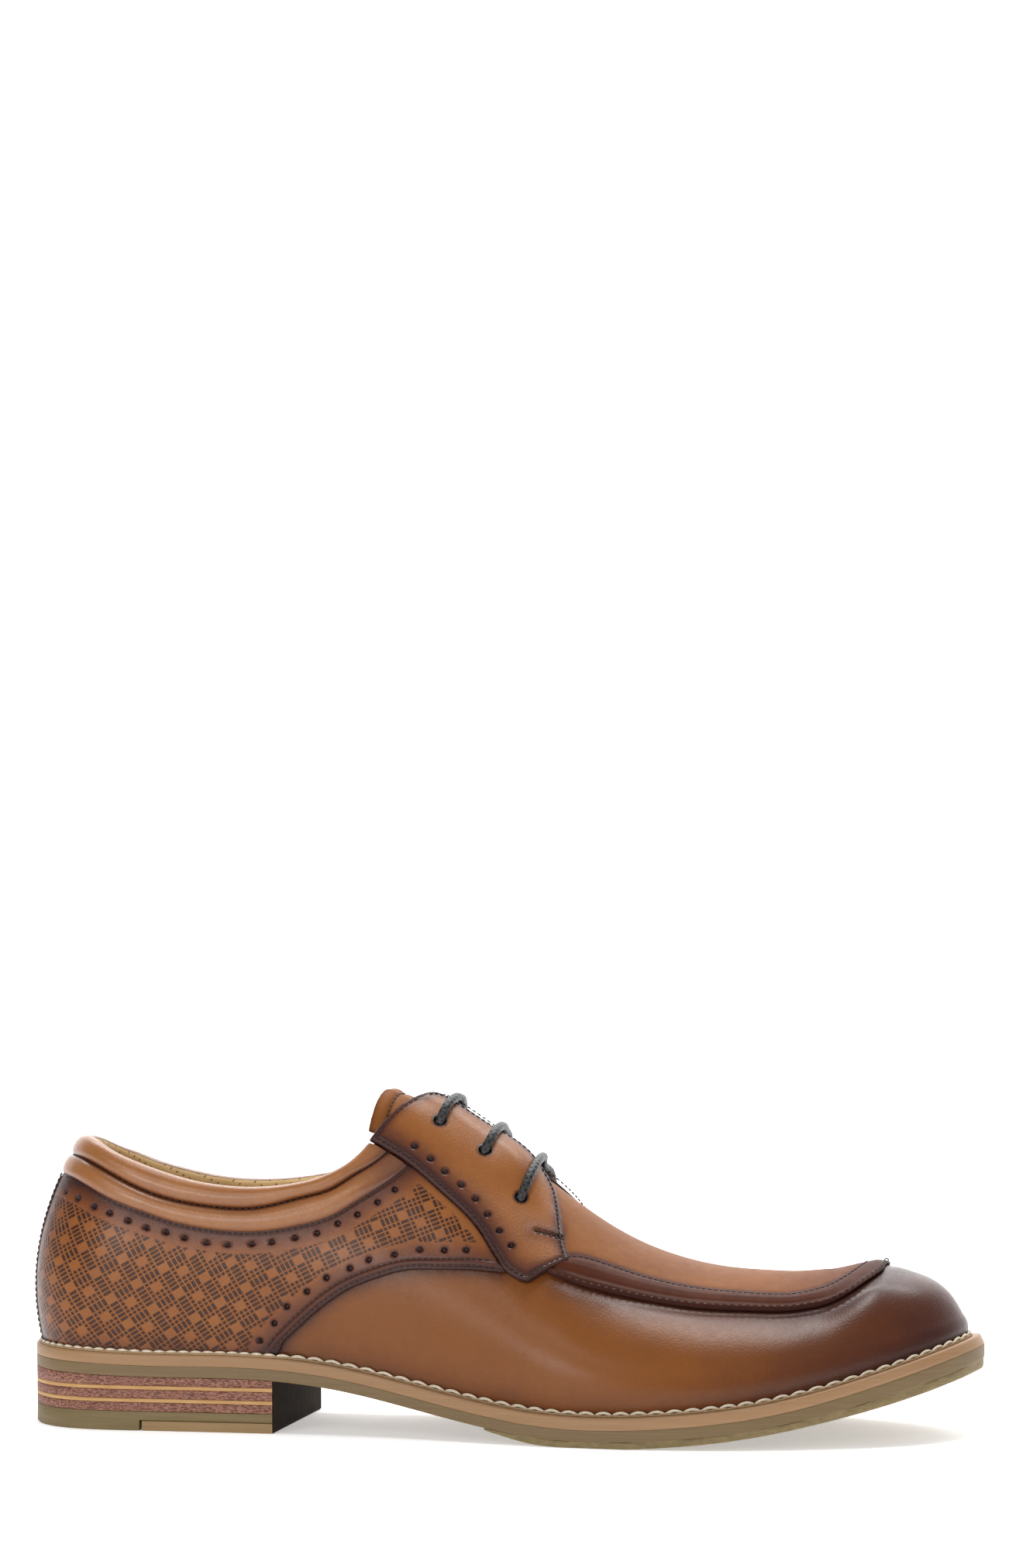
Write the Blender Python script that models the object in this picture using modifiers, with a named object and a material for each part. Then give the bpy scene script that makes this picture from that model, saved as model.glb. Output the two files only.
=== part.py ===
"""Moc toe oxford, a right shoe for men, made as an assembly of separate pieces.

Metres, +Z up. The toe points to +X, the outer (lateral) side to -Y and the inner
(medial) side to +Y. The origin is on the floor, midway along the sole.

Every curved piece is drawn on one last. A place on the last has two shares: wrap
runs round the foot from the heel back (0) along the lateral side to the toe tip (1)
and back along the medial side (2), and rise climbs from the edge of the sole (0) to
the ridge of the instep (1).
"""
import math
from collections import namedtuple

import bmesh
import bpy
import numpy as np
from mathutils import Vector

# Driving sizes of the shoe.
SOLE_LENGTH = 0.306
BALL_WIDTH = 0.108
INSTEP_HEIGHT = 0.096
HEEL_RISE = 0.0162
TOE_SPRING = 0.0230
WELT_REACH = 0.0056

# Thickness of each layer under the foot.
WELT_THICKNESS = 0.0037
MIDSOLE_THICKNESS = 0.0036
OUTSOLE_THICKNESS = 0.0023
INSOLE_COVER = 0.0014
HEEL_BREAST = 0.085
TOP_LIFT_HEIGHT = 0.0062
HEEL_LINE_THICKNESS = 0.0013
HEEL_LAYER_THICKNESS = 0.0028
LIFT_INSERT_HEIGHT = 0.0033
LIFT_INSERT_START = 0.0335

# Thickness of each layer round the foot.
UPPER_WALL = 0.0018
QUARTER_THICKNESS = 0.0012
FACING_THICKNESS = 0.0026
STRAP_THICKNESS = 0.0016
APRON_THICKNESS = 0.0011
SEAM_HEIGHT = 0.0010
COLLAR_EDGE = 0.0014
COLLAR_PADDING = 0.0026
TONGUE_THICKNESS = 0.0030
THROAT_LIFT = 0.0022
LACE_DIAMETER = 0.0030
EYELET_DIAMETER = 0.0038

CLEARANCE = 0.0003
OVERLAY_CLEARANCE = 0.0004
TONGUE_CLEARANCE = 0.0017

# How finely the forms are divided.
COLUMNS = 44
ROWS = 10
RISE_CROWDING = 2.2
LACE_SIDES_RESOLUTION = 2

HALF_WIDTH = BALL_WIDTH / 2
SOLE_STACK = WELT_THICKNESS + MIDSOLE_THICKNESS + OUTSOLE_THICKNESS
LACE_RADIUS = LACE_DIAMETER / 2
COLLECTION_NAME = "moc_toe_oxford"

# Sections round the foot. The x columns are shares of the sole's length and the y
# columns of half the ball's width. ridge is the x where the section meets the
# instep, welt the share of the welt's reach that shows, and rise_power, round_power
# and bulge shape the wall from the sole's edge to the ridge.
Section = namedtuple("Section", "wrap ridge lateral_x lateral_y medial_x medial_y "
                     "lateral_welt medial_welt rise_power round_power bulge")
SECTIONS = (
    Section(0.00, 0.200, 0.000, -0.035, 0.000, -0.035, 0.72, 0.72, 2.20, 5.00, 0.060),
    Section(0.05, 0.202, 0.009, -0.340, 0.009, 0.270, 0.72, 0.72, 2.20, 4.60, 0.060),
    Section(0.11, 0.210, 0.050, -0.600, 0.050, 0.530, 0.70, 0.70, 2.30, 3.60, 0.060),
    Section(0.20, 0.240, 0.146, -0.670, 0.146, 0.600, 0.68, 0.68, 2.45, 2.60, 0.055),
    Section(0.32, 0.320, 0.285, -0.670, 0.285, 0.565, 0.66, 0.60, 2.50, 2.15, 0.050),
    Section(0.44, 0.420, 0.400, -0.715, 0.405, 0.540, 0.66, 0.45, 2.50, 2.00, 0.060),
    Section(0.56, 0.520, 0.515, -0.870, 0.530, 0.720, 0.85, 0.60, 2.20, 2.00, 0.060),
    Section(0.68, 0.620, 0.635, -0.990, 0.655, 0.965, 0.95, 0.90, 2.10, 2.00, 0.050),
    Section(0.78, 0.705, 0.760, -0.930, 0.775, 0.985, 1.00, 1.00, 2.10, 2.05, 0.040),
    Section(0.88, 0.780, 0.882, -0.690, 0.887, 0.800, 1.00, 1.00, 2.15, 2.10, 0.030),
    Section(0.95, 0.822, 0.965, -0.350, 0.967, 0.535, 1.00, 1.00, 2.25, 2.15, 0.020),
    Section(1.00, 0.835, 1.000, 0.110, 1.000, 0.110, 1.00, 1.00, 2.30, 2.20, 0.020),
)

# The ridge of the instep: x as a share of the sole's length, height as a share of
# the instep's height and y as a share of half the ball's width.
Ridge = namedtuple("Ridge", "x height y")
RIDGE = (
    Ridge(0.000, 1.130, -0.04), Ridge(0.200, 1.120, -0.04), Ridge(0.300, 1.100, -0.04),
    Ridge(0.380, 1.045, -0.03), Ridge(0.440, 0.960, -0.03), Ridge(0.500, 0.825, -0.02),
    Ridge(0.560, 0.675, 0.00), Ridge(0.620, 0.545, 0.02), Ridge(0.680, 0.465, 0.04),
    Ridge(0.750, 0.425, 0.07), Ridge(0.835, 0.430, 0.09), Ridge(1.000, 0.428, 0.11),
)

# The top of the sole: x as a share of the sole's length, then the shares of the
# heel's rise and of the toe spring by which it stands above the ball of the foot.
Tread = namedtuple("Tread", "x heel spring")
TREAD = (
    Tread(0.00, 1.000, 0.000), Tread(0.07, 0.960, 0.000), Tread(0.15, 0.920, 0.000),
    Tread(0.24, 0.920, 0.000), Tread(0.29, 0.875, 0.000), Tread(0.35, 0.735, 0.000),
    Tread(0.42, 0.475, 0.000), Tread(0.49, 0.215, 0.000), Tread(0.56, 0.030, 0.000),
    Tread(0.65, -0.020, 0.010), Tread(0.74, 0.000, 0.085), Tread(0.80, 0.000, 0.205),
    Tread(0.86, 0.000, 0.400), Tread(0.93, 0.000, 0.690), Tread(1.00, 0.000, 1.000),
)

# Edges of the upper's panels, each a row of places on the last.
Place = namedtuple("Place", "wrap rise")
TOPLINE = (
    Place(0.000, 0.745), Place(0.060, 0.743), Place(0.116, 0.722), Place(0.146, 0.684),
    Place(0.180, 0.642), Place(0.214, 0.609), Place(0.244, 0.588), Place(0.280, 0.577),
    Place(0.327, 0.603), Place(0.358, 0.645), Place(0.382, 0.705), Place(0.401, 0.785),
    Place(0.414, 0.858), Place(0.424, 0.920), Place(0.435, 0.965), Place(0.446, 0.986),
)
THROAT = (
    Place(0.446, 0.986), Place(0.480, 0.990), Place(0.520, 0.990), Place(0.552, 0.990),
    Place(0.568, 0.993), Place(0.580, 1.000),
)
QUARTER_TOP = (
    Place(0.000, 0.625), Place(0.060, 0.623), Place(0.095, 0.609), Place(0.125, 0.580),
    Place(0.163, 0.528), Place(0.193, 0.490), Place(0.220, 0.461), Place(0.246, 0.442),
    Place(0.285, 0.430), Place(0.331, 0.461), Place(0.363, 0.503), Place(0.392, 0.572),
    Place(0.422, 0.661), Place(0.437, 0.715), Place(0.448, 0.761),
)
ROLL_SEAM = (
    Place(0.000, 0.688), Place(0.060, 0.685), Place(0.106, 0.665), Place(0.135, 0.636),
    Place(0.159, 0.605), Place(0.184, 0.567), Place(0.218, 0.528), Place(0.246, 0.511),
    Place(0.280, 0.501), Place(0.329, 0.546), Place(0.361, 0.588), Place(0.390, 0.661),
    Place(0.409, 0.717), Place(0.426, 0.777),
)
FACING_REAR = (
    Place(0.402, 0.795), Place(0.426, 0.779), Place(0.448, 0.764), Place(0.482, 0.730),
    Place(0.520, 0.692), Place(0.539, 0.653), Place(0.550, 0.619), Place(0.558, 0.595),
    Place(0.567, 0.574), Place(0.580, 0.570), Place(0.594, 0.590),
)
FACING_FRONT = (
    Place(0.438, 0.966), Place(0.450, 0.990), Place(0.480, 0.994), Place(0.520, 0.995),
    Place(0.552, 0.995), Place(0.575, 0.993), Place(0.594, 0.983), Place(0.609, 0.950),
    Place(0.619, 0.884), Place(0.626, 0.818), Place(0.633, 0.768),
)
QUARTER_ARC = (
    Place(0.314, 0.010), Place(0.322, 0.046), Place(0.333, 0.088), Place(0.350, 0.146),
    Place(0.367, 0.200), Place(0.399, 0.284), Place(0.433, 0.353), Place(0.465, 0.411),
    Place(0.492, 0.449), Place(0.524, 0.503), Place(0.560, 0.561),
)
STRAP_EDGE = (
    Place(0.052, 0.010), Place(0.047, 0.180), Place(0.045, 0.300), Place(0.052, 0.440),
    Place(0.060, 0.608),
)
APRON_EDGE = (
    Place(0.588, 0.993), Place(0.602, 0.976), Place(0.614, 0.944), Place(0.624, 0.884),
    Place(0.631, 0.818), Place(0.640, 0.750), Place(0.656, 0.722), Place(0.680, 0.737),
    Place(0.713, 0.751), Place(0.754, 0.757), Place(0.796, 0.757), Place(0.832, 0.744),
    Place(0.862, 0.738), Place(0.894, 0.764), Place(0.921, 0.814), Place(0.947, 0.868),
    Place(0.968, 0.918), Place(0.985, 0.950), Place(1.000, 0.962),
)
APRON_STITCH = (
    Place(0.592, 0.997), Place(0.606, 0.984), Place(0.619, 0.960), Place(0.629, 0.910),
    Place(0.636, 0.858), Place(0.646, 0.826), Place(0.662, 0.836), Place(0.690, 0.850),
    Place(0.728, 0.866), Place(0.771, 0.872), Place(0.802, 0.870), Place(0.841, 0.857),
    Place(0.866, 0.856), Place(0.892, 0.876), Place(0.912, 0.902), Place(0.935, 0.934),
    Place(0.955, 0.958), Place(0.977, 0.974), Place(1.000, 0.982),
)
TONGUE_EDGE = (Place(0.402, 0.855), Place(0.470, 0.845), Place(0.540, 0.840), Place(0.612, 0.870))
EYELETS = (Place(0.469, 0.926), Place(0.520, 0.922), Place(0.569, 0.872))
LACE_NAMES = ("lace_bar_top", "lace_bar_middle", "lace_bar_lower")
LACE_CREST_STEP = 0.002
THROAT_LIFT_WRAPS = (0.530, 0.586)
THROAT_LIFT_RISES = (0.80, 0.97)
OUTSOLE_WAIST = (0.485, 0.555)
OUTSOLE_START = 0.552
LAST_RISE = 0.9999


class Spline:
    """A cubic spline through rows of values, closed on itself when periodic."""

    def __init__(self, knots, values, periodic=False):
        self.knots = np.asarray(knots, float)
        self.values = np.asarray(values, float)
        count = len(self.knots)
        steps = np.diff(self.knots)
        slopes = np.diff(self.values, axis=0) / steps[:, None]
        matrix = np.zeros((count, count))
        bends = np.zeros_like(self.values)
        for row in range(1, count - 1):
            before, after = steps[row - 1], steps[row]
            matrix[row, row - 1:row + 2] = before, 2 * (before + after), after
            bends[row] = 6 * (slopes[row] - slopes[row - 1])
        if periodic:
            matrix[0, 0], matrix[0, -1] = 1, -1
            matrix[-1, [0, 1]] = 2 * steps[0], steps[0]
            matrix[-1, [-2, -1]] = steps[-1], 2 * steps[-1]
            bends[-1] = 6 * (slopes[0] - slopes[-1])
        else:
            matrix[0, 0] = matrix[-1, -1] = 1
        self.curvature = np.linalg.solve(matrix, bends)

    def __call__(self, at):
        at = np.asarray(at, float)
        left = np.clip(np.searchsorted(self.knots, at, side="right") - 1, 0, len(self.knots) - 2)
        step = (self.knots[left + 1] - self.knots[left])[..., None]
        down = (self.knots[left + 1] - at)[..., None] / step
        up = 1 - down
        bend = (down**3 - down) * self.curvature[left] + (up**3 - up) * self.curvature[left + 1]
        return down * self.values[left] + up * self.values[left + 1] + bend * step**2 / 6


class Edge:
    """A smooth line through places on the last, followed by a share of its length."""

    def __init__(self, places):
        points = np.array(places, float)
        steps = np.linalg.norm(np.diff(points, axis=0), axis=1)
        lengths = np.concatenate([[0], np.cumsum(steps)])
        self.spline = Spline(lengths / lengths[-1], points)

    def __call__(self, share):
        return self.spline(share)


def foot_loop():
    """The sections in one closed row: heel, lateral side, toe and medial side."""
    lateral = [(s.wrap, s.ridge, s.lateral_x, s.lateral_y, s.lateral_welt,
                s.rise_power, s.round_power, s.bulge) for s in SECTIONS]
    medial = [(2 - s.wrap, s.ridge, s.medial_x, s.medial_y, s.medial_welt,
               s.rise_power, s.round_power, s.bulge) for s in SECTIONS[-2::-1]]
    rows = np.array(lateral + medial)
    return Spline(rows[:, 0], rows[:, 1:], periodic=True)


def table_spline(rows):
    """A spline over a table whose first column is its x."""
    table = np.array(rows, float)
    return Spline(table[:, 0], table[:, 1:])


FOOT_LOOP = foot_loop()
RIDGE_LINE = table_spline(RIDGE)
TREAD_LINE = table_spline(TREAD)


def smooth_step(value, start, end):
    """0 before start, 1 after end and a soft climb between."""
    share = np.clip((value - start) / (end - start), 0, 1)
    return share * share * (3 - 2 * share)


def sole_top(x):
    """Height of the sole's top, where x runs from the heel back."""
    shares = TREAD_LINE(x / SOLE_LENGTH)
    return SOLE_STACK + shares[..., 0] * HEEL_RISE + shares[..., 1] * TOE_SPRING


def midsole_underside(x):
    """Height of the underside of the midsole."""
    return sole_top(x) - WELT_THICKNESS - MIDSOLE_THICKNESS


def outsole_underside(x):
    """Height of the forepart's tread, which ends at the waist and stands on the floor."""
    start, end = OUTSOLE_WAIST
    depth = OUTSOLE_THICKNESS * np.clip((x / SOLE_LENGTH - start) / (end - start), 0, 1)
    return np.maximum(midsole_underside(x) - depth, 0)


def sole_outline(wrap, inset=0.0, welt_share=0.0):
    """Plan of the sole's edge, moved inwards by inset and by a share of the welt."""
    row = FOOT_LOOP(np.mod(wrap, 2))
    scale = np.array([SOLE_LENGTH, HALF_WIDTH])
    reach = 1e-4
    ahead = FOOT_LOOP(np.mod(wrap + reach, 2))[..., 1:3] * scale
    behind = FOOT_LOOP(np.mod(wrap - reach, 2))[..., 1:3] * scale
    along = ahead - behind
    inwards = np.stack([-along[..., 1], along[..., 0]], -1)
    inwards /= np.linalg.norm(inwards, axis=-1, keepdims=True)
    move = inset + row[..., 3] * WELT_REACH * welt_share
    return row[..., 1:3] * scale + inwards * np.asarray(move)[..., None]


def last_surface(wrap, rise):
    """The outside of the upper's base layer, with x from the heel back."""
    wrap, rise = np.broadcast_arrays(np.asarray(wrap, float), np.asarray(rise, float))
    row = FOOT_LOOP(np.mod(wrap, 2))
    edge = sole_outline(wrap, welt_share=1.0)
    ridge_x = row[..., 0] * SOLE_LENGTH
    ridge_y = RIDGE_LINE(row[..., 0])[..., 1] * HALF_WIDTH
    spread = np.clip(1 - rise ** row[..., 4], 0, None) ** (1 / row[..., 5])
    spread = spread * (1 + row[..., 6] * 6.75 * rise * (1 - rise) ** 2)
    x = ridge_x + (edge[..., 0] - ridge_x) * spread
    y = ridge_y + (edge[..., 1] - ridge_y) * spread
    foot = sole_top(x) + CLEARANCE
    top = RIDGE_LINE(x / SOLE_LENGTH)[..., 0] * INSTEP_HEIGHT + SOLE_STACK
    return np.stack([x, y, foot + (top - foot) * rise], -1)


def last_normal(wrap, rise):
    """The outward direction of the last, the same from both sides along the ridge."""
    wrap, rise = np.broadcast_arrays(np.asarray(wrap, float), np.asarray(rise, float))
    reach = 1e-4
    low, high = np.clip(rise - reach, 0, 1 - 2 * reach), np.clip(rise + reach, 2 * reach, 1)

    def one_side(at):
        round_foot = last_surface(at + reach, rise * (1 - reach)) - last_surface(at - reach, rise * (1 - reach))
        upwards = last_surface(at, high) - last_surface(at, low)
        out = np.cross(round_foot, upwards)
        return out / np.linalg.norm(out, axis=-1, keepdims=True)

    near, far = one_side(wrap), one_side(2 - wrap)
    on_ridge = (rise > LAST_RISE)[..., None]
    normal = np.where(on_ridge, near + far, near)
    return normal / np.linalg.norm(normal, axis=-1, keepdims=True)


def throat_lift(wrap, rise):
    """How far the upper stands off the last beside the throat, over the tongue."""
    side = np.minimum(wrap, 2 - wrap)
    ahead = 1 - smooth_step(side, *THROAT_LIFT_WRAPS)
    return THROAT_LIFT * ahead * smooth_step(rise, *THROAT_LIFT_RISES)


def skin(wrap, rise, lift=0.0):
    """A point over the upper's base layer, lifted off it, in the part's own frame."""
    wrap, rise = np.broadcast_arrays(np.asarray(wrap, float), np.asarray(rise, float))
    height = throat_lift(wrap, rise) + lift
    point = last_surface(wrap, rise) + last_normal(wrap, rise) * height[..., None]
    return point - np.array([SOLE_LENGTH / 2, 0, 0])


def to_part(plan, height):
    """Points of the part's frame from a plan with x from the heel back and a height."""
    return np.concatenate([plan, height[..., None]], -1) - np.array([SOLE_LENGTH / 2, 0, 0])


def climb(share):
    """Rises that crowd towards the ridge, where the foot rounds over."""
    return 1 - (1 - share) ** RISE_CROWDING


def climb_share(rise):
    """The share that climb takes to a rise."""
    return 1 - (1 - rise) ** (1 / RISE_CROWDING)


def make_collection(name):
    """A collection in the scene for the shoe's pieces."""
    collection = bpy.data.collections.new(name)
    bpy.context.scene.collection.children.link(collection)
    return collection


def make_material(name, colour, roughness):
    """A plain Principled finish."""
    material = bpy.data.materials.new(name)
    material.use_nodes = True
    shader = material.node_tree.nodes["Principled BSDF"]
    shader.inputs["Base Color"].default_value = (*colour, 1.0)
    shader.inputs["Roughness"].default_value = roughness
    return material


def new_piece(name, points, faces, material, smooth=True):
    """An object from points and faces, welded where points meet."""
    mesh = bpy.data.meshes.new(name)
    mesh.from_pydata([tuple(p) for p in points], [], faces)
    work = bmesh.new()
    work.from_mesh(mesh)
    bmesh.ops.remove_doubles(work, verts=work.verts, dist=1e-6)
    bmesh.ops.dissolve_degenerate(work, edges=work.edges, dist=1e-7)
    work.to_mesh(mesh)
    work.free()
    mesh.materials.append(material)
    if smooth:
        mesh.shade_smooth()
        mesh.set_sharp_from_angle(angle=math.radians(40))
    piece = bpy.data.objects.new(name, mesh)
    PARTS.objects.link(piece)
    return piece


def grid_faces(columns, rows, closed=False, start=0, flip=False):
    """Quads over a grid stored column by column."""
    faces = []
    for column in range(columns if closed else columns - 1):
        after = (column + 1) % columns
        for row in range(rows - 1):
            quad = [start + column * rows + row, start + after * rows + row,
                    start + after * rows + row + 1, start + column * rows + row + 1]
            faces.append(quad[::-1] if flip else quad)
    return faces


def make_shell(name, grid, thickness, material, closed=False):
    """A sheet of even thickness under an open surface of columns and rows."""
    columns, rows = grid.shape[:2]
    piece = new_piece(name, grid.reshape(-1, 3), grid_faces(columns, rows, closed), material)
    solid = piece.modifiers.new("Thickness", "SOLIDIFY")
    solid.thickness = thickness
    solid.offset = -1
    solid.use_even_offset = False
    return piece


def make_slab(name, top, bottom, material, smooth=True, folded=False):
    """A closed loft between two surfaces of like columns and rows.

    A folded slab's last column meets itself, so no rim is made there.
    """
    columns, rows = top.shape[:2]
    count = columns * rows
    last = (columns - 1) * rows
    faces = grid_faces(columns, rows) + grid_faces(columns, rows, start=count, flip=True)
    rim = [(column * rows, (column + 1) * rows) for column in range(columns - 1)]
    rim += [((column + 1) * rows - 1 + rows, (column + 1) * rows - 1) for column in range(columns - 1)]
    rim += [(row + 1, row) for row in range(rows - 1)]
    if not folded:
        rim += [(last + row, last + row + 1) for row in range(rows - 1)]
    faces += [[here, here + count, there + count, there] for here, there in rim]
    points = np.concatenate([top.reshape(-1, 3), bottom.reshape(-1, 3)])
    return new_piece(name, points, faces, material, smooth)


def make_ring(name, loops, material):
    """A closed ring whose cross-section is the row of loops."""
    points = np.stack(loops, axis=1)
    columns, rows = points.shape[:2]
    closed = np.concatenate([points, points[:, :1]], axis=1)
    faces = []
    for column in range(columns):
        after = (column + 1) % columns
        for row in range(rows):
            beside = (row + 1) % rows
            faces.append([column * rows + row, after * rows + row,
                          after * rows + beside, column * rows + beside])
    return new_piece(name, closed[:, :rows].reshape(-1, 3), faces, material)


def ruled(first, second, columns, crossings, crowding=1.0):
    """Places on crossings from a first edge to a second, even over the foot's round."""
    share = np.linspace(0, 1, columns) ** crowding
    start, end = first(share)[:, None], second(share)[:, None]
    across = np.asarray(crossings, float)[None, :]
    wrap = start[..., 0] + (end[..., 0] - start[..., 0]) * across
    low, high = climb_share(start[..., 1]), climb_share(end[..., 1])
    return np.stack([wrap, climb(low + (high - low) * across)], -1)


def sided(places, medial):
    """Wrap and rise of places on the lateral side, or mirrored to the medial side."""
    wrap, rise = places[..., 0], places[..., 1]
    if medial:
        return (2 - wrap)[::-1], rise[::-1]
    return wrap, rise


def both_sides(places):
    """Places from lateral edge over the ridge to the medial edge, in one grid."""
    far = places[:, -2::-1].copy()
    far[..., 0] = 2 - far[..., 0]
    both = np.concatenate([places, far], axis=1)
    return both[..., 0], both[..., 1]


def topline_rise(wrap):
    """Rise of the upper's top edge: collar, facing, throat, then the closed vamp."""
    side = np.minimum(wrap, 2 - wrap)
    collar = Spline([p.wrap for p in TOPLINE], [[p.rise] for p in TOPLINE])
    throat = Spline([p.wrap for p in THROAT], [[p.rise] for p in THROAT])
    rise = np.where(side < THROAT[0].wrap, collar(side)[..., 0],
                    throat(np.minimum(side, THROAT[-1].wrap))[..., 0])
    return np.where(side >= THROAT[-1].wrap, 1.0, np.minimum(rise, 1.0))


def upper_wraps():
    """Wraps of the upper's columns, closer together at the corners of the throat."""
    plain = [index / COLUMNS for index in range(COLUMNS + 1)]
    extra = [THROAT[0].wrap, THROAT[-1].wrap, THROAT[-2].wrap, TOPLINE[-3].wrap]
    kept = [wrap for wrap in plain if min(abs(wrap - e) for e in extra) > 0.35 / COLUMNS]
    side = sorted(kept + extra)
    return np.array(side + [2 - wrap for wrap in side[-2:0:-1]])


def make_upper():
    """The hollow base layer: vamp and quarters in one wall, open at collar and throat."""
    wraps = upper_wraps()
    shares = climb_share(topline_rise(wraps))[:, None] * np.linspace(0, 1, ROWS)[None]
    grid = skin(wraps[:, None], climb(shares))
    make_shell("upper", grid, UPPER_WALL, LEATHER, closed=True)


def make_quarter(name, medial):
    """An embossed outer quarter, from back strap to facing, down to the welt."""
    below_collar = [Place(p.wrap, p.rise - 0.012) for p in QUARTER_TOP[3:-1]]
    behind_facing = [Place(p.wrap - 0.004, p.rise - 0.006) for p in FACING_REAR[3:8]]
    upper_edge = Edge([Place(0.066, 0.611)] + below_collar + [Place(0.450, 0.740)] + behind_facing)
    foot = [Place(0.058, 0.004), Place(0.110, 0.004), Place(0.180, 0.004), Place(0.250, 0.004)]
    lower_edge = Edge(foot + list(QUARTER_ARC[:-1]) + [Place(0.551, 0.556)])
    places = ruled(lower_edge, upper_edge, 23, np.linspace(0, 1, 8), crowding=1.25)
    grid = skin(*sided(places, medial), OVERLAY_CLEARANCE + QUARTER_THICKNESS)
    make_shell(name, grid, QUARTER_THICKNESS, QUARTER_LEATHER)


def facing_places(columns, crossings):
    """Places over a facing, from its rear edge to its throat edge."""
    return ruled(Edge(FACING_REAR), Edge(FACING_FRONT), columns, crossings)


def make_facing(name, medial):
    """An eyestay with its tab, punched for the laces."""
    places = facing_places(16, np.linspace(0, 1, 7))
    grid = skin(*sided(places, medial), OVERLAY_CLEARANCE + FACING_THICKNESS)
    facing = make_shell(name, grid, FACING_THICKNESS, LEATHER)
    for number, eyelet in enumerate(EYELETS, start=1):
        wrap = 2 - eyelet.wrap if medial else eyelet.wrap
        spot = skin(wrap, eyelet.rise, OVERLAY_CLEARANCE + FACING_THICKNESS / 2)
        bpy.ops.mesh.primitive_cylinder_add(vertices=12, radius=EYELET_DIAMETER / 2,
                                            depth=3 * FACING_THICKNESS, location=tuple(spot))
        punch = bpy.context.object
        punch.name = f"{name}_punch_{number}"
        direction = Vector(last_normal(wrap, eyelet.rise))
        punch.rotation_euler = direction.to_track_quat("Z", "Y").to_euler()
        punch.hide_render = True
        punch.display_type = "WIRE"
        for holder in list(punch.users_collection):
            holder.objects.unlink(punch)
        CUTTERS.objects.link(punch)
        cut = facing.modifiers.new(f"Eyelet {number}", "BOOLEAN")
        cut.operation = "DIFFERENCE"
        cut.object = punch


def make_back_strap():
    """The strip over the seam at the heel back."""
    edge = Edge([Place(p.wrap - 0.002, p.rise) for p in STRAP_EDGE])(np.linspace(0, 1, 9))
    across = np.linspace(1, -1, 7)
    wrap = edge[:, None, 0] * across[None]
    rise = np.repeat(edge[:, None, 1], len(across), axis=1)
    grid = skin(wrap, rise, OVERLAY_CLEARANCE + STRAP_THICKNESS)
    make_shell("back_strap", grid, STRAP_THICKNESS, DARK_LEATHER)


def make_collar():
    """Two padded rolls round the ankle, from facing to facing behind the heel."""
    columns = 24
    share = np.linspace(0, 1, columns)
    lower = Edge(list(QUARTER_TOP[:-1]) + [Place(0.4455, 0.757)])(share)
    seam = Edge(ROLL_SEAM[:-1] + (Place(0.4215, 0.772),))(share)
    upper = Edge(TOPLINE[:11] + (Place(0.3985, 0.786),))(share)
    rows = [lower + (seam - lower) * step for step in (0, 0.28, 0.72, 1)]
    rows += [seam + (upper - seam) * step for step in (0.28, 0.72, 1)]
    puffs = np.array([0, 0.9, 0.9, 0.05, 0.9, 0.9, 0.1])
    lateral = np.stack(rows, axis=1)
    medial = lateral[:0:-1].copy()
    medial[..., 0] = -medial[..., 0]
    places = np.concatenate([medial, lateral])
    outer = skin(places[..., 0], places[..., 1], OVERLAY_CLEARANCE + COLLAR_EDGE + COLLAR_PADDING * puffs[None])
    inner = skin(places[..., 0], places[..., 1], OVERLAY_CLEARANCE)
    make_slab("collar", outer, inner, COLLAR_LEATHER)


def make_apron():
    """The plug of the moc toe, with its edge gathered into a raised seam."""
    columns = 25
    share = np.linspace(0, 1, columns)
    edge, stitch = Edge(APRON_EDGE)(share), Edge(APRON_STITCH)(share)
    ridge = np.stack([stitch[:, 0], np.ones(columns)], -1)
    rows = [edge + (stitch - edge) * step for step in (0, 0.4, 1)]
    climbs = climb_share(np.minimum(stitch[:, 1], 1))
    for step in (0.12, 0.4, 0.7, 1):
        rise = climb(climbs + (1 - climbs) * step)
        rows.append(np.stack([ridge[:, 0], rise], -1))
    puffs = np.array([0.1, 1, -0.1, 0.15, 0.15, 0.15, 0.15])
    wrap, rise = both_sides(np.stack(rows, axis=1))
    puff = np.concatenate([puffs, puffs[-2::-1]])[None]
    outer = skin(wrap, rise, OVERLAY_CLEARANCE + APRON_THICKNESS + SEAM_HEIGHT * puff)
    make_slab("apron", outer, skin(wrap, rise, OVERLAY_CLEARANCE), APRON_LEATHER, folded=True)


def make_tongue():
    """The tongue, under the facings from above the top eyelets to below the vamp."""
    edge = Edge(TONGUE_EDGE)(np.linspace(0, 1, 15))
    shares = np.linspace(0, 1, 5)
    start = climb_share(edge[:, 1])[:, None]
    rise = climb(start + (1 - start) * shares[None])
    wrap = np.repeat(edge[:, None, 0], len(shares), axis=1)
    wrap, rise = both_sides(np.stack([wrap, rise], -1))
    grid = skin(wrap, rise, -UPPER_WALL - TONGUE_CLEARANCE)
    make_shell("tongue", grid, TONGUE_THICKNESS, COLLAR_LEATHER)


def plate_grid(wraps, height, inset=0.0, welt_share=0.0, lanes=1):
    """A surface across the sole, from its lateral to its medial edge."""
    lateral = sole_outline(wraps, inset, welt_share)
    medial = sole_outline(2 - wraps, inset, welt_share)
    across = np.linspace(0, 1, lanes + 1)[None, :, None]
    plan = lateral[:, None] + (medial - lateral)[:, None] * across
    return to_part(plan, height(plan[..., 0]))


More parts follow.
